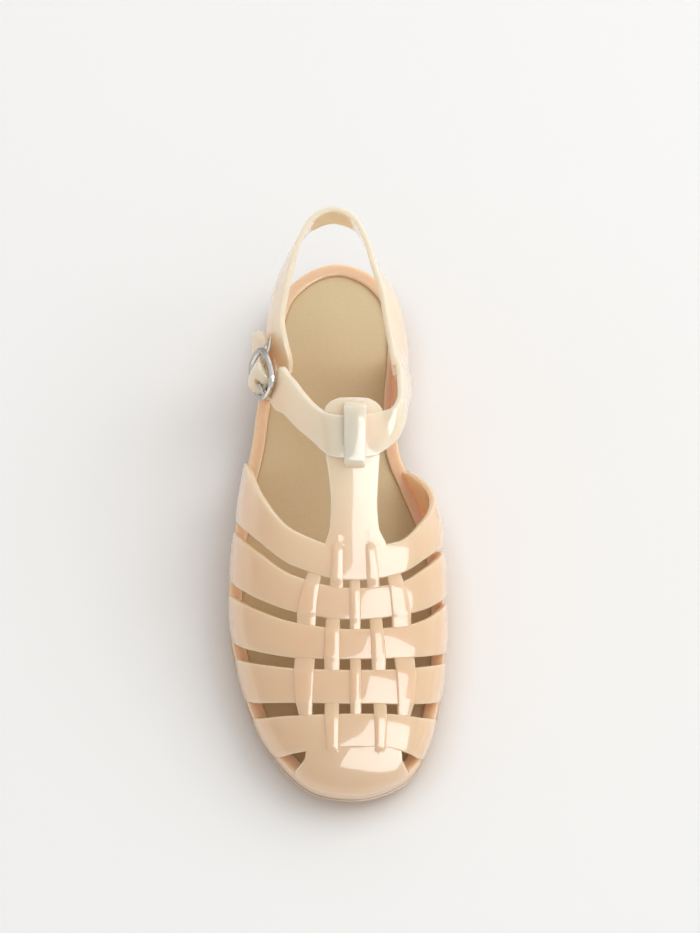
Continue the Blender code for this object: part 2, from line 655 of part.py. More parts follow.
def outsole():
    inner = OUTSOLE_PROUD + RIM_WIDTH + SEAM_GAP
    bottom = lambda s: level(1, s)
    chamfer = lambda s: level(1, s) + TREAD_CHAMFER
    ledge = lambda s: level(2, s) - EDGE_ROUND
    seam = lambda s: level(2, s)
    rings = (sole_ring(TREAD_TUCK, bottom), sole_ring(SIDE_TUCK, chamfer), sole_ring(0, ledge),
             sole_ring(EDGE_ROUND, seam), sole_ring(inner, seam), sole_ring(inner, plateau))
    piece = slab("outsole", rings)
    cut(piece, tread_cutter())
    return piece


def tread_cutter():
    """Boxes for the cross grooves of the heel and forefoot treads."""
    bm = bmesh.new()
    grooves = []
    for start, end, width in TREADS:
        first = along(start)
        count = int((end - start) * LENGTH / GROOVE_PITCH)
        centre = 0.5 * sum(np.array(outline((start + end) / 2)))
        grooves += [(centre, first - (i + 0.5) * GROOVE_PITCH, width * HALF_BALL)
                    for i in range(count)]
    for x, y, width in grooves:
        made = bmesh.ops.create_cube(bm, size=1)["verts"]
        bmesh.ops.scale(bm, vec=(width, GROOVE_WIDTH, 2 * GROOVE_DEPTH), verts=made)
        bmesh.ops.translate(bm, vec=(x, y, 0), verts=made)
    cutter = finish_mesh("tread_cutter", bm)
    parts.objects.unlink(cutter)
    guides.objects.link(cutter)
    cutter.display_type = "WIRE"
    cutter.hide_render = True
    return cutter


def insole():
    edge = OUTSOLE_PROUD + RIM_WIDTH + SEAM_GAP
    low = lambda s: plateau(s) + SEAM_GAP
    side = lambda s: level(3, s) - INSOLE_SUNK - EDGE_ROUND
    top = lambda s: level(3, s) - INSOLE_SUNK
    rings = (sole_ring(edge, low), sole_ring(edge, side), sole_ring(edge + EDGE_ROUND, top))
    return slab("insole", rings)


def cut(piece, cutter):
    change = piece.modifiers.new("cut", "BOOLEAN")
    change.object = cutter
    change.operation = "DIFFERENCE"
    change.solver = "EXACT"


def combine(body, other, operation):
    """The body with the other piece joined or cut, which is used up."""
    change = body.modifiers.new("combine", "BOOLEAN")
    change.object = other
    change.operation = operation
    change.solver = "EXACT"
    graph = bpy.context.evaluated_depsgraph_get()
    mesh = bpy.data.meshes.new_from_object(body.evaluated_get(graph))
    body.modifiers.clear()
    body.data = mesh
    bpy.data.objects.remove(other)
    return body


def fuse(name, pieces):
    """One moulded solid from overlapping pieces."""
    body = pieces[0]
    for other in pieces[1:]:
        body = combine(body, other, "UNION")
    body.name = name
    body.data.name = name
    return body


def upper():
    pieces = [rim_band()]
    for name, edges in CROSS_STRAPS.items():
        pieces.append(cross_strap(name, edges))
    pieces.append(toe_cap())
    for name, (kind, rows) in STRIPS.items():
        pieces.append(strip(name, kind, rows))
    shares = np.concatenate((column(T_BAR, 0)[:3], np.linspace(T_BAR[3][0], T_BAR[-1][0], 11)))
    left = smooth(column(T_BAR, 0), column(T_BAR, 1), shares) * HALF_BALL
    right = smooth(column(T_BAR, 0), column(T_BAR, 2), shares) * HALF_BALL
    pieces.append(crest_band("t_bar", shares, left, right, STRAP_WALL, 0.0))
    pieces.append(keeper_loop())
    pieces.append(table_ribbon("lateral", LATERAL_QUARTER, QUARTER_WALL, 10))
    pieces.append(table_ribbon("medial", MEDIAL_QUARTER, QUARTER_WALL, 10))
    pieces.append(table_ribbon("heel", HEEL_STRAP, ANKLE_WALL, 26))
    pieces.append(ankle_strap())
    return fuse("upper", pieces)


def wire(name, points, radius, cyclic=False):
    """Round wire through points, as a closed mesh."""
    data = bpy.data.curves.new(name, "CURVE")
    data.dimensions = "3D"
    data.bevel_depth = radius
    data.bevel_resolution = 2
    data.use_fill_caps = not cyclic
    spline = data.splines.new("POLY")
    spline.points.add(len(points) - 1)
    for point, p in zip(spline.points, points):
        point.co = (*p, 1)
    spline.use_cyclic_u = cyclic
    rod = bpy.data.objects.new(name, data)
    parts.objects.link(rod)
    graph = bpy.context.evaluated_depsgraph_get()
    mesh = bpy.data.meshes.new_from_object(rod.evaluated_get(graph))
    bpy.data.objects.remove(rod)
    bm = bmesh.new()
    bm.from_mesh(mesh)
    return finish_mesh(name, bm)


def buckle_frame():
    angles = np.linspace(0, 2 * pi, 28, endpoint=False)
    half_run = BUCKLE_LENGTH / 2 - BUCKLE_WIRE
    half_up = BUCKLE_WIDTH / 2 - BUCKLE_WIRE
    oval = [at_buckle(half_run * np.sign(np.cos(a)) * abs(np.cos(a)) ** RING_SQUARE,
                      half_up * np.sign(np.sin(a)) * abs(np.sin(a)) ** RING_SQUARE, 0)
            for a in angles]
    ring = wire("ring", oval, BUCKLE_WIRE, cyclic=True)
    bar = wire("bar", [at_buckle(0, -half_up, 0), at_buckle(0, half_up, 0)], PRONG_WIRE)
    hook = wire("hook", [at_buckle(run * half_run, up * half_up, out * BUCKLE_WIRE)
                         for run, up, out in HOOK], PRONG_WIRE)
    return fuse("buckle_frame", [ring, bar, hook])


def buckle_prong():
    """Pin from beside the centre bar, out through its hole, to rest on the ring's front side."""
    stops = [at_buckle(run * BUCKLE_LENGTH, 0, out * BUCKLE_WIRE) for run, out in PRONG]
    return wire("buckle_prong", stops, PRONG_WIRE)


def finish_look(piece):
    colour, roughness, metallic = COLOURS[piece.name]
    material = bpy.data.materials.new(piece.name)
    material.use_nodes = True
    shader = material.node_tree.nodes["Principled BSDF"]
    shader.inputs["Base Color"].default_value = colour
    shader.inputs["Roughness"].default_value = roughness
    shader.inputs["Metallic"].default_value = metallic
    piece.data.materials.clear()
    piece.data.materials.append(material)
    piece.data.shade_smooth()
    piece.data.set_sharp_from_angle(angle=SHARP_ANGLE)


for thing in list(bpy.data.objects):
    bpy.data.objects.remove(thing)
parts = bpy.data.collections.new("jelly_sandal")
guides = bpy.data.collections.new("guides")
bpy.context.scene.collection.children.link(parts)
bpy.context.scene.collection.children.link(guides)
for make in (outsole, upper, insole, buckle_frame, buckle_prong):
    finish_look(make())
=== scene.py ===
# %% [markdown]
# # A moulded jelly sandal
# The object is a right-foot jelly sandal: a woven cage, a T-bar, a heel strap and a buckled
# ankle strap, all moulded in one soft glossy plastic on a low-heeled sole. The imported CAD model
# is loaded first as a fixed frame, so every piece here is already in metres and in its place.

# %% Load the frame
import bpy
import bmesh
import numpy as np
from math import pi, radians, sin, cos
from mathutils import Matrix, Vector


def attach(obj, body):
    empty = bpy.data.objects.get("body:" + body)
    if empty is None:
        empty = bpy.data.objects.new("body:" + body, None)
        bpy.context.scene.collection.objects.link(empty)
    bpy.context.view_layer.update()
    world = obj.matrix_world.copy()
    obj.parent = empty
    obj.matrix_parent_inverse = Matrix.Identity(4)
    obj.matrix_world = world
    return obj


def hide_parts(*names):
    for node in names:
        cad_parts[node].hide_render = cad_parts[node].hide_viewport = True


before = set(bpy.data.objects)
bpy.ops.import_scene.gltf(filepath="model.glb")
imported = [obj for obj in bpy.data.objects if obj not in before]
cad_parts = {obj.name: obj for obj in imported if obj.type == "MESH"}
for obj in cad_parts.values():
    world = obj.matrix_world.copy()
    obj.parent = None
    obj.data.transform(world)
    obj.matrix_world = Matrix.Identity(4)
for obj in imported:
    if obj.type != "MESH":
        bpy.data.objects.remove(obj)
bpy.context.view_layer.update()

# %% [markdown]
# ## The camera
# The photograph looks down on the sandal from in front of the toe, 25 degrees off the vertical.
# A lens and a distance that fit both the length of the sole and the widening towards the toe
# were found by measuring points on the sole; they come before any piece, so that each render
# can be laid over the photograph.

# %% Camera
AIM = (0.0054, -0.070, 0.020)
DISTANCE = 1.0
TILT = radians(25)
SENSOR = 36                # millimetres
FOCUS = 2284               # focal length in the photograph's pixels
PHOTO_HEIGHT = 933

camera_data = bpy.data.cameras.new("camera")
camera_data.sensor_fit = "VERTICAL"
camera_data.sensor_height = SENSOR
camera_data.lens = SENSOR * FOCUS / PHOTO_HEIGHT
camera_data.clip_start = 0.01
camera = bpy.data.objects.new("camera", camera_data)
camera.location = (AIM[0], AIM[1] - DISTANCE * sin(TILT), AIM[2] + DISTANCE * cos(TILT))
camera.rotation_euler = (TILT, 0, 0)
bpy.context.scene.collection.objects.link(camera)
bpy.context.scene.camera = camera
print("camera at", [round(v, 3) for v in camera.location])

# %% [markdown]
# ## The last and its sizes
# Every strap lies on one smooth form, the last. It is drawn with a few tables: the outline of
# the sole, the heights of its seam and rim, and the height and place of the crest over the foot.
# The numbers are shares of the named sizes, so the whole sandal follows when one of them changes.

# %% Sizes in metres
LENGTH = 0.2494            # outsole, heel back to toe tip
BALL_WIDTH = 0.0932        # outsole at the ball
HEEL_BACK = 0.0308         # heel back behind the origin
SOLE_HEIGHT = 0.0235       # floor to the top of the rim at the heel
UPPER_HEIGHT = 0.0645      # rim top at the heel to the heel strap's top edge
SEAM_GAP = 0.0003          # between pieces that touch
OUTSOLE_PROUD = 0.0006     # outsole ledge past the rim band
RIM_WIDTH = 0.0056         # rim band round the insole
INSOLE_SUNK = 0.0020       # insole below the rim's top
INSOLE_THICK = 0.0028
STRAP_WALL = 0.0023        # cross straps, T-bar and cap
STRIP_WALL = 0.0021        # lengthwise strips
ANKLE_WALL = 0.0024        # heel strap and ankle strap
QUARTER_WALL = 0.0030
EDGE_ROUND = 0.0006        # rounding of a strap's long edges
WEAVE_RISE = 0.0010        # a strip's middle above a strap it crosses over
WEAVE_DIP = 0.0007         # and below one that it passes under
FOOT_SINK = 0.0030         # strap feet sunk into the rim band
TOE_SETBACK = 0.0017       # cage's foot behind the toe tip
TOE_ROUND = 0.0255         # length of the cap's rounded nose
SECTION_POWER = 2.5        # squareness of the instep's cross-section
NOSE_POWER = 2.6           # squareness of the cap's nose
SWELL_SCALE = 3.08         # makes the swell's largest reach 1
TIP_REACH = 0.985          # how near the cap's last row comes to the tip
TURN_STEP = 0.004          # steps used to find the surface's normal: round the section
ALONG_STEP = 0.0002        # and along the foot
LOOP_WALL = 0.0018
LOOP_WIDTH = 0.0082
LOOP_CLEARANCE = 0.0004    # ankle strap in the keeper loop
STRAP_WIDTH = 0.0132       # ankle strap at the buckle
GROOVE_DEPTH = 0.0015
GROOVE_WIDTH = 0.0025
GROOVE_PITCH = 0.0090
BUCKLE_LENGTH = 0.0207     # ring, along the strap
BUCKLE_WIDTH = 0.0202      # ring, across the strap
BUCKLE_WIRE = 0.0012       # radius
PRONG_WIRE = 0.0008        # radius
RING_SQUARE = 0.76         # 1 is an ellipse, smaller is squarer
HOLE_RADIUS = 0.0016       # holes in the ankle strap
HALF_BALL = BALL_WIDTH / 2
SOFT_EDGE = 0.0007         # rounding of a strap's outer edges
TIGHT_EDGE = 0.0003        # and of its inner ones
RIM_EDGE = 0.0009
STRAP_CROWN = 0.00025      # rise of a band's middle over its edges
STRIP_CROWN = 0.00030
RIBBON_CROWN = 0.00025
LOOP_CROWN = 0.0001
FOOT_PAD = 0.00035         # a strap is a little thicker where it meets the rim
FOOT_PAD_FROM = 0.62       # turn where that starts
FOOT_PAD_BLEND = 0.05
WEAVE_NEAR = 0.75          # a strip keeps its level this far over a strap, in half widths
WEAVE_FADE = 0.60
TREAD_TUCK = 0.0022        # the tread's edge inside the outline
TREAD_CHAMFER = 0.0015     # height of its slanted edge
BED_OVERLAP = 0.0001       # foot bed pressed into the rim
# Treads: start and end as shares of the length, groove length in metres
TREADS = ((0.055, 0.225, 0.026), (0.545, 0.710, 0.050))
print("sole", LENGTH * 1000, "x", BALL_WIDTH * 1000, "mm")

# %% Tables of the sole and the last
# Outline: share of the length, lateral and medial edge as shares of half the ball width
OUTLINE = (
    (0.000, -0.011, -0.011),
    (0.010, -0.227, 0.213),
    (0.034, -0.414, 0.397),
    (0.076, -0.580, 0.547),
    (0.136, -0.662, 0.617),
    (0.212, -0.705, 0.601),
    (0.292, -0.780, 0.565),
    (0.365, -0.825, 0.583),
    (0.437, -0.901, 0.715),
    (0.506, -0.955, 0.859),
    (0.575, -0.993, 0.958),
    (0.647, -1.009, 0.991),
    (0.712, -0.985, 0.997),
    (0.784, -0.903, 0.973),
    (0.848, -0.793, 0.914),
    (0.900, -0.664, 0.837),
    (0.945, -0.488, 0.731),
    (0.973, -0.340, 0.592),
    (0.991, -0.180, 0.402),
    (1.000, 0.145, 0.145),
)
# Levels: share of the length, then shares of the sole height: tread, seam, rim top
LEVELS = (
    (0.000, 0.000, 0.553, 1.000),
    (0.200, 0.000, 0.553, 1.000),
    (0.245, 0.000, 0.545, 0.960),
    (0.275, 0.310, 0.535, 0.925),
    (0.400, 0.260, 0.470, 0.830),
    (0.530, 0.000, 0.370, 0.745),
    (0.650, 0.000, 0.280, 0.685),
    (0.720, 0.000, 0.270, 0.670),
    (0.850, 0.085, 0.315, 0.680),
    (0.930, 0.165, 0.375, 0.735),
    (1.000, 0.270, 0.455, 0.815),
)
# Crest of the cage and T-bar: share of the length, height above the heel's rim as a share
# of the upper height, place across as a share of half the ball width
CREST = (
    (0.365, 1.062, 0.161),
    (0.405, 1.023, 0.161),
    (0.470, 0.930, 0.161),
    (0.530, 0.806, 0.161),
    (0.578, 0.705, 0.161),
    (0.623, 0.609, 0.161),
    (0.675, 0.504, 0.161),
    (0.727, 0.411, 0.163),
    (0.780, 0.333, 0.167),
    (0.836, 0.256, 0.176),
    (0.888, 0.191, 0.185),
    (0.928, 0.138, 0.189),
    (0.969, 0.085, 0.165),
    (1.000, 0.042, 0.140),
)
# Cage foot inside the outline: share of the length, then shares of the rim's width for the
# lateral foot, the medial foot and the medial side's swell
FEET = (
    (0.30, 0.446, 0.446, 0.089),
    (0.40, 0.429, 0.357, 0.446),
    (0.50, 0.393, 0.286, 0.571),
    (0.60, 0.339, 0.250, 0.286),
    (0.72, 0.321, 0.232, 0.107),
    (0.80, 0.250, 0.250, 0.071),
    (0.90, 0.161, 0.179, 0.036),
    (0.95, 0.107, 0.089, 0.018),
    (1.00, 0.000, 0.000, 0.000),
)
print("tables read:", len(OUTLINE), "outline rows,", len(CREST), "crest rows")

# %% [markdown]
# ## Curves through the tables
# Two kinds of curve are used. One never overshoots its rows, which suits heights and edges that
# must stay where they were measured. The other swings freely, which suits a strap in the air.

# %% Curves
def between(xs, ys, step, slope, tangent, x):
    """Cubic through the rows with the given tangents, its two ends bent like their neighbours."""
    tangent[0] = 1.5 * slope[0] - 0.5 * tangent[1]
    tangent[-1] = 1.5 * slope[-1] - 0.5 * tangent[-2]
    i = np.clip(np.searchsorted(xs, x, side="right") - 1, 0, len(xs) - 2)
    t = (x - xs[i]) / step[i]
    return ((2 * t ** 3 - 3 * t ** 2 + 1) * ys[i] + (t ** 3 - 2 * t ** 2 + t) * step[i] * tangent[i]
            + (3 * t ** 2 - 2 * t ** 3) * ys[i + 1] + (t ** 3 - t ** 2) * step[i] * tangent[i + 1])


def smooth(xs, ys, x):
    """Monotone curve through the rows of a table: no overshoot between them."""
    xs = np.asarray(xs, float)
    ys = np.asarray(ys, float)
    x = np.clip(np.asarray(x, float), xs[0], xs[-1])
    step = np.diff(xs)
    slope = np.diff(ys) / step
    turn = slope[:-1] * slope[1:] > 0
    tangent = np.zeros_like(ys)
    mean = 2 * slope[:-1] * slope[1:] / np.where(turn, slope[:-1] + slope[1:], 1)
    tangent[1:-1] = np.where(turn, mean, 0)
    return between(xs, ys, step, slope, tangent, x)


def curve(xs, ys, x):
    """Smooth curve through points, free to swing between them."""
    step = np.diff(xs)
    slope = np.diff(ys) / step
    tangent = np.empty_like(ys)
    tangent[1:-1] = (slope[:-1] * step[1:] + slope[1:] * step[:-1]) / (step[:-1] + step[1:])
    return between(xs, ys, step, slope, tangent, x)


def ease(t):
    """0 to 1 with a soft start and end."""
    return t * t * (3 - 2 * t)


def smooth_path(points, count, guide=None):
    """Evenly spaced points on a free curve, spaced by the guide's length where one is given."""
    points = np.asarray(points, float)
    guide = points if guide is None else guide
    steps = np.r_[0, np.cumsum(np.linalg.norm(np.diff(guide, axis=0), axis=1))]
    where = np.linspace(0, steps[-1], count)
    return np.stack([curve(steps, points[:, k], where) for k in range(3)], -1)


def column(table, i):
    return np.array([row[i] for row in table])


def read(table, which, at):
    """A column of a table, read off its monotone curve."""
    return smooth(column(table, 0), column(table, which), at)


def unit(v):
    return v / np.linalg.norm(v, axis=-1, keepdims=True)

# %% [markdown]
# ## The surface of the last
# A cross-section of the instep is a rounded box, squarer than an ellipse. A point on it is given
# by its place along the foot and by a turn, from -1 at the outer foot over 0 at the crest to 1 at
# the inner foot. Lifting a point along the surface's normal gives straps their thickness.

# %% Surface of the last
def share_of(y):
    return (HEEL_BACK - y) / LENGTH


def along(share):
    return HEEL_BACK - share * LENGTH


def outline(share):
    """Lateral and medial edge of the sole at a share of its length."""
    turn = np.arccos(1 - 2 * np.clip(share, 0, 1))
    rows = np.arccos(1 - 2 * column(OUTLINE, 0))
    return [smooth(rows, column(OUTLINE, side), turn) * HALF_BALL for side in (1, 2)]


def level(which, share):
    """Height of the tread (1), the seam (2) or the rim's top (3)."""
    return read(LEVELS, which, share) * SOLE_HEIGHT


def place(points):
    """Points in space from their shares: along, across and up."""
    share, across, up = np.moveaxis(np.asarray(points, float), -1, 0)
    return np.stack((across * HALF_BALL, along(share), SOLE_HEIGHT + up * UPPER_HEIGHT), -1)


def section(y):
    """Crest place and height, foot places, swell and base of the cage at y."""
    share = share_of(y)
    crest_x = read(CREST, 2, share) * HALF_BALL
    crest_z = SOLE_HEIGHT + read(CREST, 1, share) * UPPER_HEIGHT
    lateral, medial = outline((HEEL_BACK - y) / (LENGTH - TOE_SETBACK))
    lateral = lateral + read(FEET, 1, share) * RIM_WIDTH
    medial = medial - read(FEET, 2, share) * RIM_WIDTH
    swell = read(FEET, 3, share) * RIM_WIDTH
    base = level(3, share) - FOOT_SINK
    tip = along(1) + TOE_SETBACK
    nose = np.clip((tip + TOE_ROUND - y) / TOE_ROUND, 0, 1)
    crest_z = base + (crest_z - base) * (1 - nose ** NOSE_POWER) ** (1 / NOSE_POWER)
    return crest_x, crest_z, lateral, medial, swell, base


def cage(y, turn):
    """Point on the cage's middle surface, turn from -1 (lateral foot) to 1 (medial foot)."""
    y, turn = np.broadcast_arrays(np.asarray(y, float), np.asarray(turn, float))
    crest_x, crest_z, lateral, medial, swell, base = section(y)
    angle = np.abs(turn) * pi / 2
    half = np.where(turn < 0, crest_x - lateral, medial - crest_x)
    sine = np.sin(angle)
    cosine = np.clip(np.cos(angle), 0, 1)
    x = crest_x + np.sign(turn) * half * sine ** (2 / SECTION_POWER)
    x = x + np.where(turn > 0, swell, 0) * SWELL_SCALE * sine ** 3 * cosine
    z = base + (crest_z - base) * cosine ** (2 / SECTION_POWER)
    return np.stack((x, y, z), -1)


def turn_at(x, y):
    """Place round the section of a point near the crest."""
    crest_x, _, lateral, medial, _, _ = section(y)
    half = np.where(x < crest_x, crest_x - lateral, medial - crest_x)
    side = np.clip(np.abs(x - crest_x) / half, 0, 1)
    return np.sign(x - crest_x) * np.arcsin(side ** (SECTION_POWER / 2)) * 2 / pi


def lifted(y, turn, lift):
    """Point at a height over the cage's middle surface."""
    y, turn, lift = np.broadcast_arrays(y, turn, lift)
    low = np.clip(turn - TURN_STEP, -1, 1)
    high = np.clip(turn + TURN_STEP, -1, 1)
    side = cage(y, high) - cage(y, low)
    ahead = cage(y + ALONG_STEP, turn) - cage(y - ALONG_STEP, turn)
    return cage(y, turn) + unit(np.cross(side, ahead)) * lift[..., None]


def lifted_at(x, y, lift):
    x, y = np.broadcast_arrays(np.asarray(x, float), np.asarray(y, float))
    return lifted(y, turn_at(x, y), lift)

# %% [markdown]
# ## Bands with soft edges
# A strap could be a box with a bevel modifier, but its edges would then swim where it meets
# others. Here the section is written out instead: rounded outer edges, tighter inner ones and a
# slight crown, which is what makes a moulded strap catch a long soft highlight.

# %% Section of a band
def corner(blend, radius, half, angles):
    """Rows of a rounded corner: blend across, distance in from that edge, height."""
    side = np.sign(half)
    return [(blend, radius * (1 - cos(a)), half - side * radius * (1 - sin(a))) for a in angles]


def band_profile(wall, crown):
    """Rows once round a band's section, its top crowned."""
    half = wall / 2
    fine = np.linspace(0, pi / 2, 5)
    coarse = np.linspace(0, pi / 2, 3)
    top = [(b, 0, half + crown * (1 - (2 * b - 1) ** 2)) for b in (0.2, 0.35, 0.5, 0.65, 0.8)]
    under = [(b, 0, -half) for b in (0.75, 0.5, 0.25)]
    return [*corner(0, SOFT_EDGE, half, fine), *top, *corner(1, SOFT_EDGE, half, fine[::-1]),
            *corner(1, TIGHT_EDGE, -half, coarse), *under,
            *corner(0, TIGHT_EDGE, -half, coarse[::-1])]


def finish_mesh(name, bm):
    """Object from a bmesh, its faces turned outwards."""
    bmesh.ops.remove_doubles(bm, verts=bm.verts, dist=1e-7)
    bmesh.ops.recalc_face_normals(bm, faces=bm.faces)
    mesh = bpy.data.meshes.new(name)
    bm.to_mesh(mesh)
    bm.free()
    piece = bpy.data.objects.new(name, mesh)
    bpy.context.scene.collection.objects.link(piece)
    return piece


def sides(rings, closed=False):
    """Bmesh with faces between rings of equally many points, and its rows of vertices."""
    bm = bmesh.new()
    grid = [[bm.verts.new(p) for p in ring] for ring in rings]
    for a, b in zip(grid, grid[1:] + grid[:1] if closed else grid[1:]):
        for j in range(len(a)):
            k = (j + 1) % len(a)
            bm.faces.new((a[j], a[k], b[k], b[j]))
    return bm, grid


def loft(name, rings, closed=False):
    """Closed mesh through rings, its ends capped or joined."""
    bm, grid = sides(rings, closed)
    if not closed:
        bm.faces.new(grid[0][::-1])
        bm.faces.new(grid[-1])
    return finish_mesh(name, bm)


def sweep(name, wall, crown, at):
    """Band whose rows are carried along by a function of blend, distance in and height."""
    return loft(name, np.stack([at(*row) for row in band_profile(wall, crown)], 1))

# %% [markdown]
# ## The cross straps
# Five straps run over the foot from rim to rim. Each is drawn by its rear and its front edge,
# tabled round the section, and their gaps are what the photograph shows between them.

# %% Cross straps
ROUND = (-1.0, -0.75, -0.5, -0.25, 0.0, 0.25, 0.5, 0.75, 1.0)
CROSS_STRAPS = {
    "strap_1": ((0.403, 0.454, 0.534, 0.602, 0.629, 0.617, 0.570, 0.500, 0.407),
                (0.504, 0.552, 0.603, 0.654, 0.678, 0.665, 0.629, 0.588, 0.552)),
    "strap_2": ((0.524, 0.572, 0.621, 0.668, 0.689, 0.678, 0.644, 0.601, 0.560),
                (0.611, 0.653, 0.693, 0.723, 0.737, 0.728, 0.708, 0.675, 0.643)),
    "strap_3": ((0.638, 0.676, 0.712, 0.739, 0.751, 0.745, 0.724, 0.689, 0.653),
                (0.720, 0.755, 0.779, 0.794, 0.798, 0.794, 0.784, 0.767, 0.743)),
    "strap_4": ((0.753, 0.779, 0.798, 0.810, 0.814, 0.811, 0.800, 0.784, 0.761),
                (0.828, 0.848, 0.858, 0.864, 0.867, 0.866, 0.860, 0.848, 0.829)),
    "strap_5": ((0.858, 0.873, 0.879, 0.882, 0.882, 0.881, 0.880, 0.874, 0.860),
                (0.927, 0.935, 0.936, 0.935, 0.933, 0.933, 0.936, 0.938, 0.932)),
}


def cross_strap(name, edges):
    turns = np.linspace(-1, 1, 97)
    rear, front = (along(smooth(ROUND, edge, turns)) for edge in edges)
    foot = FOOT_PAD * ease(np.clip((np.abs(turns) - FOOT_PAD_FROM) / FOOT_PAD_BLEND, 0, 1))

    def at(blend, inset, height):
        y = rear + (front - rear) * blend + (inset if blend else -inset)
        return lifted(y, turns, height + foot if height > 0 else height)

    return sweep(name, STRAP_WALL, STRAP_CROWN, at)


straps = [cross_strap(name, edges) for name, edges in CROSS_STRAPS.items()]
print(len(straps), "cross straps of", len(straps[0].data.polygons), "faces")

# %% [markdown]
# ## The lengthwise strips
# Five strips are woven through the cross straps, over every second one. In the mould they are
# ridges that rise over a strap and dip under the next, so each strip gets a lift along its length.

# %% Strips and T-bar
# Lengthwise strips: share of the length, lateral and medial edge across; over the even or
# the odd cross straps
STRIPS = {
    "strip_a": ("even", ((0.655, -0.240, -0.120), (0.727, -0.348, -0.180),
                         (0.804, -0.373, -0.195), (0.856, -0.356, -0.208),
                         (0.900, -0.310, -0.223))),
    "strip_b": ("odd", ((0.611, -0.034, 0.056), (0.683, -0.060, 0.058),
                        (0.743, -0.099, 0.028), (0.804, -0.112, 0.026),
                        (0.872, -0.107, 0.021), (0.938, -0.082, 0.017))),
    "strip_c": ("even", ((0.655, 0.112, 0.204), (0.767, 0.114, 0.212), (0.900, 0.120, 0.217))),
    "strip_d": ("odd", ((0.603, 0.245, 0.322), (0.683, 0.264, 0.376),
                        (0.743, 0.290, 0.403), (0.804, 0.305, 0.431),
                        (0.872, 0.322, 0.438), (0.944, 0.335, 0.421))),
    "strip_e": ("even", ((0.645, 0.425, 0.535), (0.727, 0.479, 0.642),
                         (0.804, 0.511, 0.682), (0.856, 0.524, 0.665),
                         (0.900, 0.545, 0.622))),
}
# T-bar: share of the length, lateral and medial edge across
T_BAR = (
    (0.409, 0.020, 0.280),
    (0.414, -0.056, 0.350),
    (0.425, -0.105, 0.392),
    (0.450, -0.116, 0.397),
    (0.490, -0.099, 0.373),
    (0.530, -0.067, 0.361),
    (0.562, -0.052, 0.354),
    (0.599, -0.064, 0.369),
    (0.623, -0.103, 0.433),
    (0.651, -0.129, 0.461),
)


def weave_lift(share, x, kind):
    """Height of a strip: over its own cross straps and under the others."""
    turn = turn_at(x, along(share))
    lift = np.zeros_like(share)
    for number, edges in enumerate(CROSS_STRAPS.values(), 1):
        rear, front = (smooth(ROUND, edge, turn) for edge in edges)
        away = np.abs(share - (front + rear) / 2) / ((front - rear) / 2)
        near = 1 - np.clip((away - WEAVE_NEAR) / WEAVE_FADE, 0, 1)
        over = (number % 2 == 0) == (kind == "even")
        lift = lift + ease(near) * (WEAVE_RISE if over else -WEAVE_DIP)
    return lift


def crest_band(name, shares, rows, wall, crown, kind=None):
    """Band along the crest between a lateral and a medial edge, woven or flat."""
    left, right = (read(rows, side, shares) * HALF_BALL for side in (1, 2))
    lift = weave_lift(shares, (left + right) / 2, kind) if kind else 0.0

    def at(blend, inset, height):
        x = left + (right - left) * blend + (-inset if blend else inset)
        return lifted_at(x, along(shares), lift + height)

    return sweep(name, wall, crown, at)


strips = [crest_band(name, np.linspace(rows[0][0], rows[-1][0], 90), rows, STRIP_WALL,
                     STRIP_CROWN, kind) for name, (kind, rows) in STRIPS.items()]
bar_top, bar_neck, bar_end = T_BAR[0][0], T_BAR[3][0], T_BAR[-1][0]
bar_shares = np.concatenate((bar_top + (bar_neck - bar_top) * np.linspace(0, 1, 16) ** 2,
                             np.linspace(bar_neck, bar_end, 50)[1:]))
t_bar = crest_band("t_bar", bar_shares, T_BAR, STRAP_WALL, STRAP_CROWN)
print(len(strips), "strips and the T-bar")

# %% [markdown]
# ## The toe cap
# The cap closes the front in one wall. It is a small shell: the same surface of the last, once
# lifted outwards and once inwards, stitched round its border.

# %% Toe cap
CAP_REAR = ((-1.00, 0.960), (-0.71, 0.956), (-0.56, 0.951), (-0.47, 0.944), (-0.41, 0.933),
            (-0.25, 0.928), (0.00, 0.927), (0.25, 0.927), (0.41, 0.931), (0.49, 0.944),
            (0.56, 0.950), (0.73, 0.957), (1.00, 0.960))


def toe_cap():
    turns = np.linspace(-1, 1, 73)
    rear = along(read(CAP_REAR, 1, turns))
    tip = along(1) + TOE_SETBACK
    steps = np.sin(np.linspace(0, TIP_REACH, 30) * pi / 2)
    lift = STRAP_WALL / 2
    near = 1 - np.clip((rear.max() - tip) * steps / SOFT_EDGE, 0, 1)
    soft = SOFT_EDGE * (1 - np.sqrt(1 - near ** 2))
    outer = [lifted(rear + (tip - rear) * s, turns, lift - r) for s, r in zip(steps, soft)]
    inner = [lifted(rear + (tip - rear) * s, turns, -lift) for s in steps]
    bm = bmesh.new()
    a = [[bm.verts.new(p) for p in row] for row in outer]
    b = [[bm.verts.new(p) for p in row] for row in inner]
    last = len(turns) - 1
    for i in range(len(steps) - 1):
        for j in range(last):
            bm.faces.new((a[i][j], a[i][j + 1], a[i + 1][j + 1], a[i + 1][j]))
            bm.faces.new((b[i][j], b[i + 1][j], b[i + 1][j + 1], b[i][j + 1]))
        for j in (0, last):
            bm.faces.new((a[i][j], a[i + 1][j], b[i + 1][j], b[i][j]))
    for i in (0, -1):
        for j in range(last):
            bm.faces.new((a[i][j], b[i][j], b[i][j + 1], a[i][j + 1]))
    return finish_mesh("cap", bm)


cap = toe_cap()
print("toe cap of", len(cap.data.polygons), "faces")

# %% [markdown]
# ## The keeper loop
# A narrow loop stands up from the T-bar, and the ankle strap runs through it. Its section is
# carried along a path that rises over the strap and comes down again.

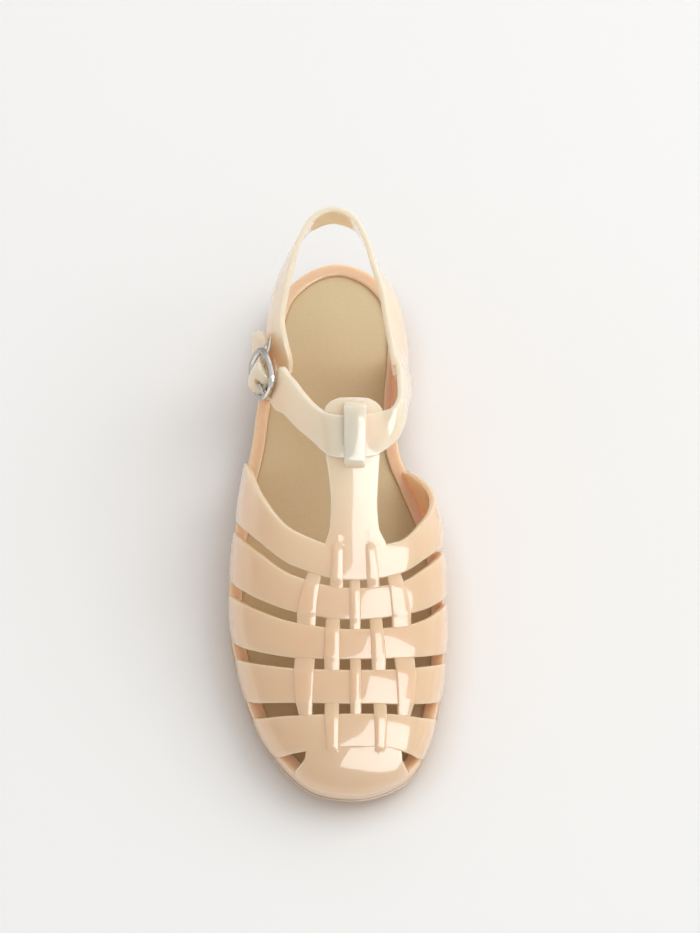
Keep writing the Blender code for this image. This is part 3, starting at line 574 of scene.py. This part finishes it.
# %% Keeper loop
LOOP = ((0.418, 0.0), (0.422, 0.55), (0.429, 0.95), (0.440, 1.0), (0.492, 1.0), (0.502, 0.95),
        (0.508, 0.55), (0.512, 0.0))
LOOP_ACROSS = 0.154


def keeper_loop():
    rise = STRAP_WALL / 2 + ANKLE_WALL + 2 * LOOP_CLEARANCE + LOOP_WALL / 2
    rows = np.array(LOOP)
    knots = np.linspace(0, 1, len(rows))
    fine = np.linspace(0, 1, 60)
    shares = smooth(knots, rows[:, 0], fine)
    lift = smooth(knots, rows[:, 1], fine) * rise
    slope = np.gradient(lift, along(shares))
    lean = 1 / np.sqrt(1 + slope ** 2)

    def at(blend, inset, height):
        y = along(shares) - slope * lean * height
        x = LOOP_ACROSS * HALF_BALL + (blend - 0.5) * LOOP_WIDTH + (-inset if blend else inset)
        return lifted_at(x, y, lift + lean * height)

    return sweep("loop", LOOP_WALL, LOOP_CROWN, at)


loop = keeper_loop()
print("loop of", len(loop.data.polygons), "faces")

# %% [markdown]
# ## The straps in the air
# The quarters, the heel strap and the ankle strap leave the last, so they are ribbons between two
# edge curves in space. The same soft section is swept along them.

# %% Ribbons
HEEL_STRAP = (
    ((0.320, -0.425, 0.690), (0.320, -0.640, 0.480)),
    ((0.306, -0.418, 0.765), (0.300, -0.640, 0.560)),
    ((0.284, -0.455, 0.838), (0.269, -0.640, 0.635)),
    ((0.245, -0.494, 0.885), (0.224, -0.625, 0.674)),
    ((0.192, -0.455, 0.916), (0.172, -0.580, 0.709)),
    ((0.144, -0.405, 0.946), (0.126, -0.505, 0.733)),
    ((0.092, -0.325, 0.977), (0.082, -0.385, 0.761)),
    ((0.056, -0.210, 0.994), (0.050, -0.245, 0.777)),
    ((0.043, -0.041, 1.000), (0.036, -0.043, 0.783)),
    ((0.056, 0.133, 0.994), (0.050, 0.167, 0.777)),
    ((0.090, 0.240, 0.977), (0.082, 0.280, 0.761)),
    ((0.144, 0.325, 0.946), (0.126, 0.385, 0.733)),
    ((0.192, 0.395, 0.916), (0.172, 0.525, 0.709)),
    ((0.245, 0.440, 0.888), (0.224, 0.592, 0.674)),
    ((0.289, 0.480, 0.891), (0.269, 0.625, 0.636)),
    ((0.333, 0.515, 0.907), (0.309, 0.628, 0.581)),
)
LATERAL_QUARTER = (
    ((0.277, -0.668, -0.085), (0.164, -0.614, -0.085)),
    ((0.285, -0.684, 0.163), (0.188, -0.638, 0.163)),
    ((0.305, -0.680, 0.411), (0.208, -0.640, 0.411)),
    ((0.330, -0.640, 0.597), (0.216, -0.610, 0.597)),
    ((0.326, -0.512, 0.690), (0.219, -0.610, 0.690)),
)
MEDIAL_QUARTER = (
    ((0.321, 0.519, -0.085), (0.180, 0.554, -0.085)),
    ((0.327, 0.575, 0.163), (0.200, 0.580, 0.163)),
    ((0.335, 0.618, 0.411), (0.220, 0.595, 0.411)),
    ((0.349, 0.640, 0.597), (0.224, 0.570, 0.597)),
    ((0.357, 0.612, 0.752), (0.220, 0.505, 0.729)),
    ((0.349, 0.530, 0.891), (0.245, 0.455, 0.853)),
)
ANKLE_MIDDLE = (0.30, 0.0, 0.6)    # in the opening: a ribbon's crowned side looks away from it


def ribbon(name, edges, wall, count):
    """Band between two free edges, given as pairs of an upper and a lower point."""
    edges = np.asarray(edges, float)
    up, low = (smooth_path(edges[:, side], count, edges.mean(1)) for side in (0, 1))
    middle = (up + low) / 2
    normal = unit(np.cross(np.gradient(middle, axis=0), up - low))
    normal = normal * np.sign(np.sum(normal * (middle - place(ANKLE_MIDDLE))))
    across = unit(up - low)

    def at(blend, inset, height):
        edge = up - across * inset if blend == 1 else low + across * inset
        return (edge if blend in (0, 1) else low + (up - low) * blend) + normal * height

    return sweep(name, wall, RIBBON_CROWN, at)


lateral_quarter = ribbon("lateral_quarter", place(LATERAL_QUARTER), QUARTER_WALL, 40)
medial_quarter = ribbon("medial_quarter", place(MEDIAL_QUARTER), QUARTER_WALL, 40)
heel_strap = ribbon("heel_strap", place(HEEL_STRAP), ANKLE_WALL, 140)
print("heel strap and two quarters")

# %% [markdown]
# ## The ankle strap
# It starts from the inner quarter, runs through the loop and over the buckle's centre bar, and
# ends in a rounded tip. Two round holes are cut: the prong stands in one, the other is spare.

# %% Ankle strap
ANKLE_MEDIAL = (
    ((0.309, 0.506, 0.891), (0.317, 0.655, 0.597)),
    ((0.333, 0.543, 0.916), (0.349, 0.653, 0.674)),
    ((0.369, 0.558, 0.953), (0.389, 0.622, 0.752)),
    ((0.405, 0.552, 0.984), (0.438, 0.580, 0.822)),
    ((0.423, 0.502, 1.000), (0.470, 0.505, 0.868)),
)
ANKLE_LATERAL = (
    ((0.418, -0.190, 0.974), (0.462, -0.205, 0.808)),
    ((0.391, -0.298, 0.947), (0.430, -0.342, 0.742)),
    ((0.358, -0.408, 0.908), (0.396, -0.467, 0.682)),
)
# The ankle strap over the T-bar: place across, upper edge and lower edge along
ANKLE_OVER = ((0.375, 0.425, 0.489), (0.161, 0.437, 0.500), (-0.043, 0.434, 0.496))
# In front of the ring, where the strap turns up over the foot: for its upper and lower edge,
# the distances along and up from the ring's middle in ring lengths; height in wire radii
ANKLE_FRONT = (((-0.235, 0.470), (-0.580, -0.251), -2.8),
               ((-0.275, 0.350), (-0.464, -0.242), -2.75))
# At the buckle: distance along the strap from the ring's middle as a share of the ring's
# length, height over the ring's plane in wire radii, share of the strap's width
ANKLE_BUCKLE = ((-0.33, -2.3, 0.70), (-0.26, 0.35, 0.90), (-0.13, 2.15, 1.04), (0.06, 2.15, 1.04),
                (0.22, 0.35, 0.90), (0.33, -2.3, 0.70), (0.42, -2.7, 0.77), (0.50, -2.8, 0.98),
                (0.66, -2.9, 0.98), (0.81, -3.1, 0.88), (0.94, -3.3, 0.62), (1.00, -3.4, 0.34),
                (1.02, -3.4, 0.18))
# Hook behind the ring: shares of the ring's half length and half width, wire radii outwards
HOOK = ((0.45, 0.94, 0.0), (0.66, 0.95, -1.6), (1.00, 0.97, -3.0), (1.32, 0.98, -4.0))
# Prong: distance along the strap in ring lengths, height in wire radii
PRONG = ((-0.093, -1.0), (-0.150, -1.47), (-0.185, -0.67), (-0.212, 1.53), (-0.277, 2.3),
         (-0.321, 2.3), (-0.500, 1.95))
STRAP_HOLES = (-0.20, 0.27)    # along the strap from the ring's middle, in ring lengths
BUCKLE_PLACE = (0.326, -0.684, 0.724)
BUCKLE_ALONG = (-0.305, 0.947, -0.090)
BUCKLE_UP = (0.335, 0.213, 0.915)
buckle_run = unit(BUCKLE_ALONG)
buckle_out = unit(np.cross(BUCKLE_UP, buckle_run))
buckle_up = np.cross(buckle_run, buckle_out)


def at_buckle(run, up, out):
    """Point by the ring's middle: metres along the strap and across it, wire radii outwards."""
    return (place(BUCKLE_PLACE) + buckle_run * run + buckle_up * up
            + buckle_out * (out * BUCKLE_WIRE))


def combine(body, other, operation):
    """The body with the other piece joined or cut, which is used up."""
    change = body.modifiers.new("combine", "BOOLEAN")
    change.object = other
    change.operation = operation
    change.solver = "EXACT"
    graph = bpy.context.evaluated_depsgraph_get()
    mesh = bpy.data.meshes.new_from_object(body.evaluated_get(graph))
    body.modifiers.clear()
    body.data = mesh
    bpy.data.objects.remove(other)
    return body


def ankle_strap():
    lift = STRAP_WALL / 2 + LOOP_CLEARANCE + ANKLE_WALL / 2
    edges = [*place(ANKLE_MEDIAL)]
    for across, *shares in ANKLE_OVER:
        edges.append([lifted_at(across * HALF_BALL, along(share), lift) for share in shares])
    edges.extend(place(ANKLE_LATERAL))
    for *points, out in ANKLE_FRONT:
        edges.append([at_buckle(*np.multiply(point, BUCKLE_LENGTH), out) for point in points])
    for run, out, width in ANKLE_BUCKLE:
        half = width * STRAP_WIDTH / 2
        edges.append([at_buckle(run * BUCKLE_LENGTH, up, out) for up in (half, -half)])
    piece = ribbon("ankle", edges, ANKLE_WALL, 220)
    for step in STRAP_HOLES:
        bm = bmesh.new()
        bmesh.ops.create_cone(bm, cap_ends=True, segments=32, radius1=HOLE_RADIUS,
                              radius2=HOLE_RADIUS, depth=6 * ANKLE_WALL)
        axes = Matrix((buckle_run, buckle_up, buckle_out)).transposed().to_4x4()
        spot = Matrix.Translation(at_buckle(step * BUCKLE_LENGTH, 0, 0))
        bmesh.ops.transform(bm, matrix=spot @ axes, verts=bm.verts)
        piece = combine(piece, finish_mesh("hole", bm), "DIFFERENCE")
    return piece


ankle = ankle_strap()
print("ankle strap of", len(ankle.data.polygons), "faces")

# %% [markdown]
# ## The rim
# Under the straps runs a band all round the foot bed, moulded in one with them. Every ring on
# the sole is the outline set in by a distance, at a height that changes along the foot.

# %% Rim
STATIONS = 110


def sole_ring(inset, height):
    """Closed ring on the outline, set in by a distance, at a height given by the place along."""
    shares = (1 - np.cos(np.linspace(0, pi, STATIONS + 1))) / 2
    lateral, medial = outline(shares)
    y = along(shares)
    ring = np.concatenate((np.stack((lateral, y), -1), np.stack((medial, y), -1)[-2:0:-1]))
    tangent = unit(np.roll(ring, -1, 0) - np.roll(ring, 1, 0))
    normal = np.stack((-tangent[:, 1], tangent[:, 0]), -1)
    inward = np.sign(np.sum(normal * (ring.mean(0) - ring), 1).sum())
    ring = ring + normal * inward * inset
    return np.column_stack((ring, height(share_of(ring[:, 1]))))


def rounding(edge, way, radius, top, angles):
    """Rows of rings round an edge: distance in from the outline, height by the place along."""
    return [(edge + way * radius * (1 - cos(a)), lambda s, a=a: top(s) - radius * (1 - sin(a)))
            for a in angles]


def seam(share):
    return level(2, share)


def rim_foot(share):
    return seam(share) + SEAM_GAP


def rim_top(share):
    return level(3, share)


def rim_band():
    outer = OUTSOLE_PROUD
    inner = OUTSOLE_PROUD + RIM_WIDTH
    quarter = np.linspace(0, pi / 2, 5)
    rows = [(outer, rim_foot), *rounding(outer, 1, RIM_EDGE, rim_top, quarter),
            *rounding(inner, -1, RIM_EDGE, rim_top, quarter[::-1]), (inner, rim_foot)]
    return loft("rim", [sole_ring(*row) for row in rows], closed=True)


rim = rim_band()
print("rim of", len(rim.data.polygons), "faces")

# %% [markdown]
# ## One moulding
# Soft plastic of this kind comes out of the mould in one shot, and light travels through it.
# Joining the straps with a boolean leaves no wall inside, so the light inside isn't stopped
# where two straps meet.

# %% Join the upper
def shade(piece, angle=38):
    piece.data.polygons.foreach_set("use_smooth", [True] * len(piece.data.polygons))
    piece.data.set_sharp_from_angle(angle=radians(angle))


upper = rim
for piece in (*straps, cap, *strips, t_bar, loop, lateral_quarter, medial_quarter, heel_strap,
              ankle):
    upper = combine(upper, piece, "UNION")
upper.name = "upper_moulding"
shade(upper)
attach(upper, "root")
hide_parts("upper")
print("upper of", len(upper.data.polygons), "faces")

# %% [markdown]
# ## The sole
# The outsole is a slab of the same family of plastic, with a step in its side and cross grooves
# in the two flat treads. The foot bed lies 2 mm below the rim's top.

# %% Outsole
def slab(name, rows):
    """Solid through rings on the outline, its top and bottom closed by strips across."""
    bm, grid = sides([sole_ring(*row) for row in rows])
    for ring in (grid[0], grid[-1]):
        for j in range(len(ring) // 2):
            corners = (ring[j], ring[j + 1], ring[-j - 1], ring[-j] if j else ring[0])
            bm.faces.new(list(dict.fromkeys(corners)))
    return finish_mesh(name, bm)


def plateau(share):
    """Top of the slab under the foot bed."""
    return rim_top(share) - INSOLE_SUNK - INSOLE_THICK - SEAM_GAP


# Tread edge: shares of the tuck and of the chamfer, from the ground up
TREAD_EDGE = ((1.0, 0.0), (13 / 22, 1 / 3), (7 / 22, 1.0))


def outsole():
    inner = OUTSOLE_PROUD + RIM_WIDTH + SEAM_GAP
    rows = [(share * TREAD_TUCK, lambda s, rise=rise: level(1, s) + rise * TREAD_CHAMFER)
            for share, rise in TREAD_EDGE]
    rows += [(0, lambda s: seam(s) - EDGE_ROUND),
             *rounding(0, 1, EDGE_ROUND, seam, np.linspace(0.2, 1, 4) * pi / 2),
             (inner, seam), (inner, plateau)]
    return slab("outsole_moulding", rows)


def tread_cutter():
    bm = bmesh.new()
    for start, end, width in TREADS:
        centre = 0.5 * sum(np.array(outline((start + end) / 2)))
        for i in range(int((end - start) * LENGTH / GROOVE_PITCH)):
            made = bmesh.ops.create_cube(bm, size=1)["verts"]
            bmesh.ops.scale(bm, vec=(width, GROOVE_WIDTH, 2 * GROOVE_DEPTH), verts=made)
            y = along(start) - (i + 0.5) * GROOVE_PITCH
            bmesh.ops.translate(bm, vec=(centre, y, 0), verts=made)
    return finish_mesh("tread_cutter", bm)


sole = combine(outsole(), tread_cutter(), "DIFFERENCE")
shade(sole, 30)
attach(sole, "root")
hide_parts("outsole")
print("outsole of", len(sole.data.polygons), "faces")

# %% Foot bed
def foot_bed():
    edge = OUTSOLE_PROUD + RIM_WIDTH - BED_OVERLAP
    rows = [(edge, lambda s: plateau(s) + SEAM_GAP),
            *rounding(edge, 1, EDGE_ROUND, lambda s: rim_top(s) - INSOLE_SUNK,
                      np.linspace(0, 1, 5) * pi / 2)]
    return slab("foot_bed", rows)


bed = foot_bed()
shade(bed, 30)
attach(bed, "root")
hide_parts("insole")
print("foot bed of", len(bed.data.polygons), "faces")

# %% [markdown]
# ## The buckle
# The ring is a flat oval with bevelled faces, bent from bright plated metal. A round wire would
# show one line of light; the flat section gives the broad bright faces of the real one.

# %% Buckle
def wire(name, points, radius):
    points = np.asarray(points, float)
    runs = np.gradient(points, axis=0)
    rings = []
    for p, run in zip(points, unit(runs)):
        side = unit(np.cross(run, buckle_up + 0.3 * buckle_out))
        rise = np.cross(side, run)
        rings.append([p + radius * (cos(a) * side + sin(a) * rise)
                      for a in np.linspace(0, 2 * pi, 16, endpoint=False)])
    return loft(name, rings)


def buckle_frame():
    half_run = BUCKLE_LENGTH / 2 - BUCKLE_WIRE
    half_up = BUCKLE_WIDTH / 2 - BUCKLE_WIRE
    profile = ((-1.15, -0.45), (-1.15, 0.35), (-0.55, 1.0), (0.55, 1.0), (1.15, 0.35),
               (1.15, -0.45), (0.7, -0.9), (-0.7, -0.9))
    rings = []
    for a in np.linspace(0, 2 * pi, 96, endpoint=False):
        run = half_run * np.sign(cos(a)) * abs(cos(a)) ** RING_SQUARE
        up = half_up * np.sign(sin(a)) * abs(sin(a)) ** RING_SQUARE
        outward = unit((cos(a) / half_run, sin(a) / half_up))
        rings.append([at_buckle(run + outward[0] * w * BUCKLE_WIRE,
                                up + outward[1] * w * BUCKLE_WIRE, h) for w, h in profile])
    ring = loft("buckle_ring", rings, closed=True)
    bar = wire("bar", [at_buckle(0, t * half_up, 0) for t in np.linspace(-1, 1, 8)], PRONG_WIRE)
    stops = [at_buckle(run * half_run, up * half_up, out) for run, up, out in HOOK]
    hook = wire("hook", smooth_path(stops, 24), PRONG_WIRE)
    return combine(combine(ring, bar, "UNION"), hook, "UNION")


def buckle_prong():
    """Pin from beside the centre bar, out through its hole, to rest on the ring's front side."""
    stops = [at_buckle(run * BUCKLE_LENGTH, 0, out) for run, out in PRONG]
    return wire("buckle_pin", smooth_path(stops, 48), PRONG_WIRE)


ring = buckle_frame()
pin = buckle_prong()
for piece, node in ((ring, "buckle_frame"), (pin, "buckle_prong")):
    shade(piece, 32)
    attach(piece, "root")
    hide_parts(node)
print("buckle ring and pin")

# %% [markdown]
# ## Effects that several finishes share
# Three things turn up in more than one material, so each is built once as a node group. Moulding
# flow is the faint cloudiness of plastic that cooled slowly; fine grain is the pressed texture of
# a mould or a fabric; soft ripple is the slight unevenness that breaks up a long reflection.

# %% Node helpers
def feed(tree, socket, source):
    """Link another node's socket to this one, or set it where the source is a plain value."""
    if isinstance(source, bpy.types.NodeSocket):
        tree.links.new(source, socket)
    else:
        socket.default_value = source


def fill(tree, node, sources):
    for label, source in sources.items():
        feed(tree, node.inputs[label], source)


def add(tree, kind, sources=None, **settings):
    node = tree.nodes.new(kind)
    for key, value in settings.items():
        setattr(node, key, value)
    fill(tree, node, sources or {})
    return node


def new_group(name, inputs, outputs):
    """Group, its inputs to read from and its outputs to feed."""
    group = bpy.data.node_groups.new(name, "ShaderNodeTree")
    for label, kind, value in inputs:
        socket = group.interface.new_socket(name=label, in_out="INPUT", socket_type=kind)
        socket.default_value = value
    for label, kind in outputs:
        group.interface.new_socket(name=label, in_out="OUTPUT", socket_type=kind)
    return group, add(group, "NodeGroupInput").outputs, add(group, "NodeGroupOutput").inputs


def by_place(tree, kind, sources=None, **settings):
    """Node that reads the place on the piece, in the piece's own coordinates."""
    spot = add(tree, "ShaderNodeTexCoord").outputs["Object"]
    return add(tree, kind, {"Vector": spot, **(sources or {})}, **settings)


def maths(tree, operation, *sources):
    return add(tree, "ShaderNodeMath", dict(enumerate(sources)), operation=operation).outputs[0]


def ramp(tree, value, low, high, **settings):
    """A value mapped from low..high to 0..1, clamped."""
    node = add(tree, "ShaderNodeMapRange", {"Value": value, "From Min": low, "From Max": high},
               **settings)
    return node.outputs["Result"]


def blend_colours(tree, share, first, second, **settings):
    node = add(tree, "ShaderNodeMix", data_type="RGBA", **settings)
    fill(tree, node, {"Factor": share, "A": first, "B": second})
    return node.outputs["Result"]


# %% Moulding flow
def make_flow():
    group, given, put = new_group(
        "moulding_flow",
        (("Light", "NodeSocketColor", (0.8, 0.7, 0.6, 1)),
         ("Deep", "NodeSocketColor", (0.7, 0.5, 0.4, 1)),
         ("Size", "NodeSocketFloat", 30.0), ("Amount", "NodeSocketFloat", 0.5),
         ("Roughness", "NodeSocketFloat", 0.2), ("Roughness Spread", "NodeSocketFloat", 0.05)),
        (("Color", "NodeSocketColor"), ("Roughness", "NodeSocketFloat")))
    cloud = by_place(group, "ShaderNodeTexNoise", {"Scale": given["Size"], "Detail": 3})
    spread = ramp(group, cloud.outputs["Fac"], 0.32, 0.68)
    amount = maths(group, "MULTIPLY", spread, given["Amount"])
    feed(group, put["Color"], blend_colours(group, amount, given["Light"], given["Deep"]))
    feed(group, put["Roughness"],
         maths(group, "MULTIPLY_ADD", spread, given["Roughness Spread"], given["Roughness"]))
    return group


# %% Soft ripple and fine grain
def make_ripple():
    group, given, put = new_group(
        "soft_ripple",
        (("Size", "NodeSocketFloat", 60.0), ("Depth", "NodeSocketFloat", 0.0002)),
        (("Height", "NodeSocketFloat"),))
    waves = by_place(group, "ShaderNodeTexNoise", {"Scale": given["Size"], "Detail": 1})
    feed(group, put["Height"], maths(group, "MULTIPLY", waves.outputs["Fac"], given["Depth"]))
    return group


def make_grain():
    group, given, put = new_group(
        "fine_grain",
        (("Size", "NodeSocketFloat", 2500.0), ("Depth", "NodeSocketFloat", 0.00005)),
        (("Height", "NodeSocketFloat"), ("Mask", "NodeSocketFloat")))
    cells = by_place(group, "ShaderNodeTexVoronoi", {"Scale": given["Size"]}, feature="SMOOTH_F1")
    mask = ramp(group, cells.outputs["Distance"], 0.1, 0.8)
    feed(group, put["Height"], maths(group, "MULTIPLY", mask, given["Depth"]))
    feed(group, put["Mask"], mask)
    return group


flow = make_flow()
ripple = make_ripple()
grain = make_grain()
print("shared effects:", flow.name, ripple.name, grain.name)

# %% [markdown]
# ## The glossy moulded plastic
# Soft clear-ish plastic is mostly scattered light: it glows a little where it is thin and looks
# peachier where it is thick. A Principled surface with subsurface does this, with a smooth top
# that mirrors the studio's soft boxes. The straps high up are paler where light from the pale
# ground comes through them; that is painted backlight: a pale colour blended in with height.

# %% Material start
def new_material(name):
    material = bpy.data.materials.new(name)
    material.use_nodes = True
    material.node_tree.nodes.clear()
    skin = material.node_tree.nodes.new("ShaderNodeBsdfPrincipled")
    out = material.node_tree.nodes.new("ShaderNodeOutputMaterial")
    material.node_tree.links.new(skin.outputs[0], out.inputs["Surface"])
    return material, material.node_tree, skin


def use_group(tree, group, **values):
    node = add(tree, "ShaderNodeGroup", node_tree=group)
    fill(tree, node, {label.replace("_", " "): value for label, value in values.items()})
    return node.outputs


def bump(tree, heights):
    """Surface normal from heights added up."""
    total = heights[0]
    for other in heights[1:]:
        total = maths(tree, "ADD", total, other)
    sources = {"Strength": 1.0, "Distance": 1.0, "Height": total}
    return add(tree, "ShaderNodeBump", sources).outputs["Normal"]


# %% Jelly plastic
# Painted backlight: between these heights the colour pales, for ground light through the straps
BACKLIGHT_PAINT_FROM = 0.044          # height where the pale ground starts to shine through
BACKLIGHT_PAINT_TO = 0.094


def jelly(name, light, deep, painted_backlight, glow, rough, ripple_depth):
    material, tree, skin = new_material(name)
    cloud = use_group(tree, flow, Light=light, Deep=deep, Size=22.0, Amount=0.5, Roughness=rough,
                      Roughness_Spread=0.06)
    wave = use_group(tree, ripple, Size=55.0, Depth=ripple_depth)
    pores = use_group(tree, grain, Size=1400.0, Depth=0.000004)
    split = by_place(tree, "ShaderNodeSeparateXYZ")
    # painted backlight: share of the pale colour, rising with height
    height = ramp(tree, split.outputs["Z"], BACKLIGHT_PAINT_FROM, BACKLIGHT_PAINT_TO, interpolation_type="SMOOTHSTEP")
    fill(tree, skin, {"Base Color": blend_colours(tree, height, cloud["Color"], painted_backlight),
                      "Roughness": cloud["Roughness"],
                      "Normal": bump(tree, [wave["Height"], pores["Height"]]),
                      "Subsurface Weight": glow, "Subsurface Radius": (1.0, 0.92, 0.82),
                      "Subsurface Scale": 0.006, "IOR": 1.5, "Coat Weight": 1.0,
                      "Coat Roughness": 0.02, "Coat IOR": 1.6})
    return material


def paint(piece, material):
    piece.data.materials.clear()
    piece.data.materials.append(material)


# The last colour of each plastic is painted backlight: the pale tone of light through high straps
paint(upper, jelly("jelly_upper", light=(0.875, 0.59, 0.385, 1), deep=(0.845, 0.53, 0.325, 1),
                   painted_backlight=(0.97, 0.745, 0.57, 1), glow=1.0, rough=0.20, ripple_depth=0.00008))
paint(sole, jelly("jelly_sole", light=(0.58, 0.40, 0.27, 1), deep=(0.50, 0.33, 0.21, 1),
                  painted_backlight=(0.62, 0.45, 0.32, 1), glow=0.7, rough=0.34, ripple_depth=0.0003))
print("plastic on", upper.name, "and", sole.name)

# %% [markdown]
# ## The foot bed
# The sock lining is a smooth satin sheet with a very fine pressed weave. Seen at this size the
# weave is only a shimmer, so it is two crossing rows of fine waves in the bump and a faint
# change of colour, over the same fine grain as the plastic.

# %% Foot bed lining
def lining():
    material, tree, skin = new_material("satin_lining")
    cloud = use_group(tree, flow, Light=(0.71, 0.56, 0.335, 1), Deep=(0.66, 0.52, 0.30, 1),
                      Size=14.0, Amount=0.8, Roughness=0.42, Roughness_Spread=0.08)
    pores = use_group(tree, grain, Size=1100.0, Depth=0.00001)
    heights = []
    for axis in ("X", "Y"):
        rows = by_place(tree, "ShaderNodeTexWave", {"Scale": 500, "Distortion": 0.6},
                        wave_type="BANDS", bands_direction=axis)
        heights.append(maths(tree, "MULTIPLY", rows.outputs["Fac"], 0.000004))
    heights.append(pores["Height"])
    faint = maths(tree, "MULTIPLY", pores["Mask"], 0.5)
    colour = blend_colours(tree, faint, cloud["Color"], (0.90, 0.88, 0.84, 1),
                           blend_type="MULTIPLY")
    fill(tree, skin, {"Base Color": colour, "Roughness": cloud["Roughness"],
                      "Normal": bump(tree, heights), "Sheen Weight": 0.25,
                      "Sheen Roughness": 0.4, "Specular IOR Level": 0.5})
    return material


paint(bed, lining())
print("lining on", bed.name)

# %% [markdown]
# ## The plated buckle
# Bright plating is a plain mirror metal. What makes it look worn rather than drawn is a little
# variation of roughness, which comes from the same cloud as the plastic, in greys. Plating shows
# its bevels because the room behind the camera is dark, and the pale surround here isn't, so the
# faces turned that way get a darker tint, by the direction of the surface's normal.

# %% Plated metal
def plating():
    material, tree, skin = new_material("bright_plating")
    cloud = use_group(tree, flow, Light=(0.86, 0.84, 0.81, 1), Deep=(0.70, 0.68, 0.65, 1),
                      Size=160.0, Amount=0.6, Roughness=0.06, Roughness_Spread=0.06)
    pores = use_group(tree, grain, Size=2600.0, Depth=0.000004)
    normal = add(tree, "ShaderNodeNewGeometry").outputs["Normal"]
    toward = add(tree, "ShaderNodeVectorMath", {0: normal, 1: (0.10, -0.65, 0.75)},
                 operation="DOT_PRODUCT")
    dark_side = ramp(tree, toward.outputs["Value"], 0.02, 0.75)
    colour = blend_colours(tree, dark_side, (0.10, 0.085, 0.07, 1), cloud["Color"])
    fill(tree, skin, {"Metallic": 1.0, "Base Color": colour, "Roughness": cloud["Roughness"],
                      "Normal": bump(tree, [pores["Height"]])})
    return material


metal = plating()
for piece in (ring, pin):
    paint(piece, metal)
print("plating on", ring.name, "and", pin.name)

# %% [markdown]
# ## Floor and light
# The photograph has an even pale ground with one soft shadow to the left of the toe. A pale
# surround, brighter on the medial side, gives the even ground. The key box behind on the right
# gives the shadow and is hidden from reflections; the long sheen box in front on the right is
# seen only in reflections, so the square highlights fall where they should without a second
# shadow. Close to the sole the ground turns darker and warm, by ambient occlusion.

# %% Floor
FLOOR_REACH = 3.0
FLOOR_DROP = 0.0002        # floor below the treads, so the two never flicker together


def floor():
    bm = bmesh.new()
    corners = [bm.verts.new((x * FLOOR_REACH, y * FLOOR_REACH, -FLOOR_DROP))
               for x, y in ((-1, -1), (1, -1), (1, 1), (-1, 1))]
    bm.faces.new(corners)
    piece = finish_mesh("floor", bm)
    material, tree, skin = new_material("pale_ground")
    near = add(tree, "ShaderNodeAmbientOcclusion", {"Distance": 0.022}, samples=8)
    lit = ramp(tree, near.outputs["AO"], 0.30, 0.85)
    colour = blend_colours(tree, lit, (0.70, 0.59, 0.49, 1), (0.88, 0.877, 0.868, 1))
    fill(tree, skin, {"Base Color": colour, "Emission Color": (1.0, 0.995, 0.98, 1),
                      "Emission Strength": 0.038, "Roughness": 0.9, "Specular IOR Level": 0.1})
    paint(piece, material)
    return piece


ground = floor()
print("floor", ground.name)

# %% Lights
TARGET = Vector((0.005, -0.09, 0.02))
SKY_LEFT = 0.50            # strength of the surround on the lateral side
SKY_RIGHT = 0.88           # and on the medial side


def soft_box(name, place_at, width, height, power, colour=(1, 1, 1)):
    """Area light aimed at the sandal, its width square to the sandal's length."""
    data = bpy.data.lights.new(name, "AREA")
    data.shape = "RECTANGLE"
    data.size = width
    data.size_y = height
    data.energy = power
    data.color = colour
    back = (Vector(place_at) - TARGET).normalized()
    across = Vector((0, 1, 0)).cross(back).normalized()
    light = bpy.data.objects.new(name, data)
    turn = Matrix((across, back.cross(across), back)).transposed().to_4x4()
    light.matrix_world = Matrix.Translation(place_at) @ turn
    bpy.context.scene.collection.objects.link(light)
    return light


key_box = soft_box("key_box", (1.35, 0.55, 1.75), 1.7, 1.7, 20.0)
key_box.visible_glossy = False
back_box = soft_box("back_box", (0.50, 1.90, 1.50), 1.6, 1.0, 2.0)
fill_box = soft_box("fill_box", (-1.3, -0.2, 1.0), 1.2, 1.0, 1.6)
fill_box.visible_glossy = False
sheen_box = soft_box("sheen_box", (1.25, -1.75, 1.85), 3.0, 2.3, 90.0, (0.88, 0.96, 1.0))
sheen_box.visible_diffuse = False

world = bpy.data.worlds.new("studio")
world.use_nodes = True
room = world.node_tree
ray = add(room, "ShaderNodeTexCoord").outputs["Generated"]
across_sky = add(room, "ShaderNodeSeparateXYZ", {0: ray}).outputs["X"]
brightness = add(room, "ShaderNodeMapRange", {"Value": across_sky, "From Min": -1, "From Max": 1,
                                              "To Min": SKY_LEFT, "To Max": SKY_RIGHT})
fill(room, room.nodes["Background"], {"Color": (1, 0.995, 0.985, 1),
                                      "Strength": brightness.outputs["Result"]})
bpy.context.scene.world = world
bpy.context.scene.view_settings.view_transform = "Standard"
print("soft boxes and surround")
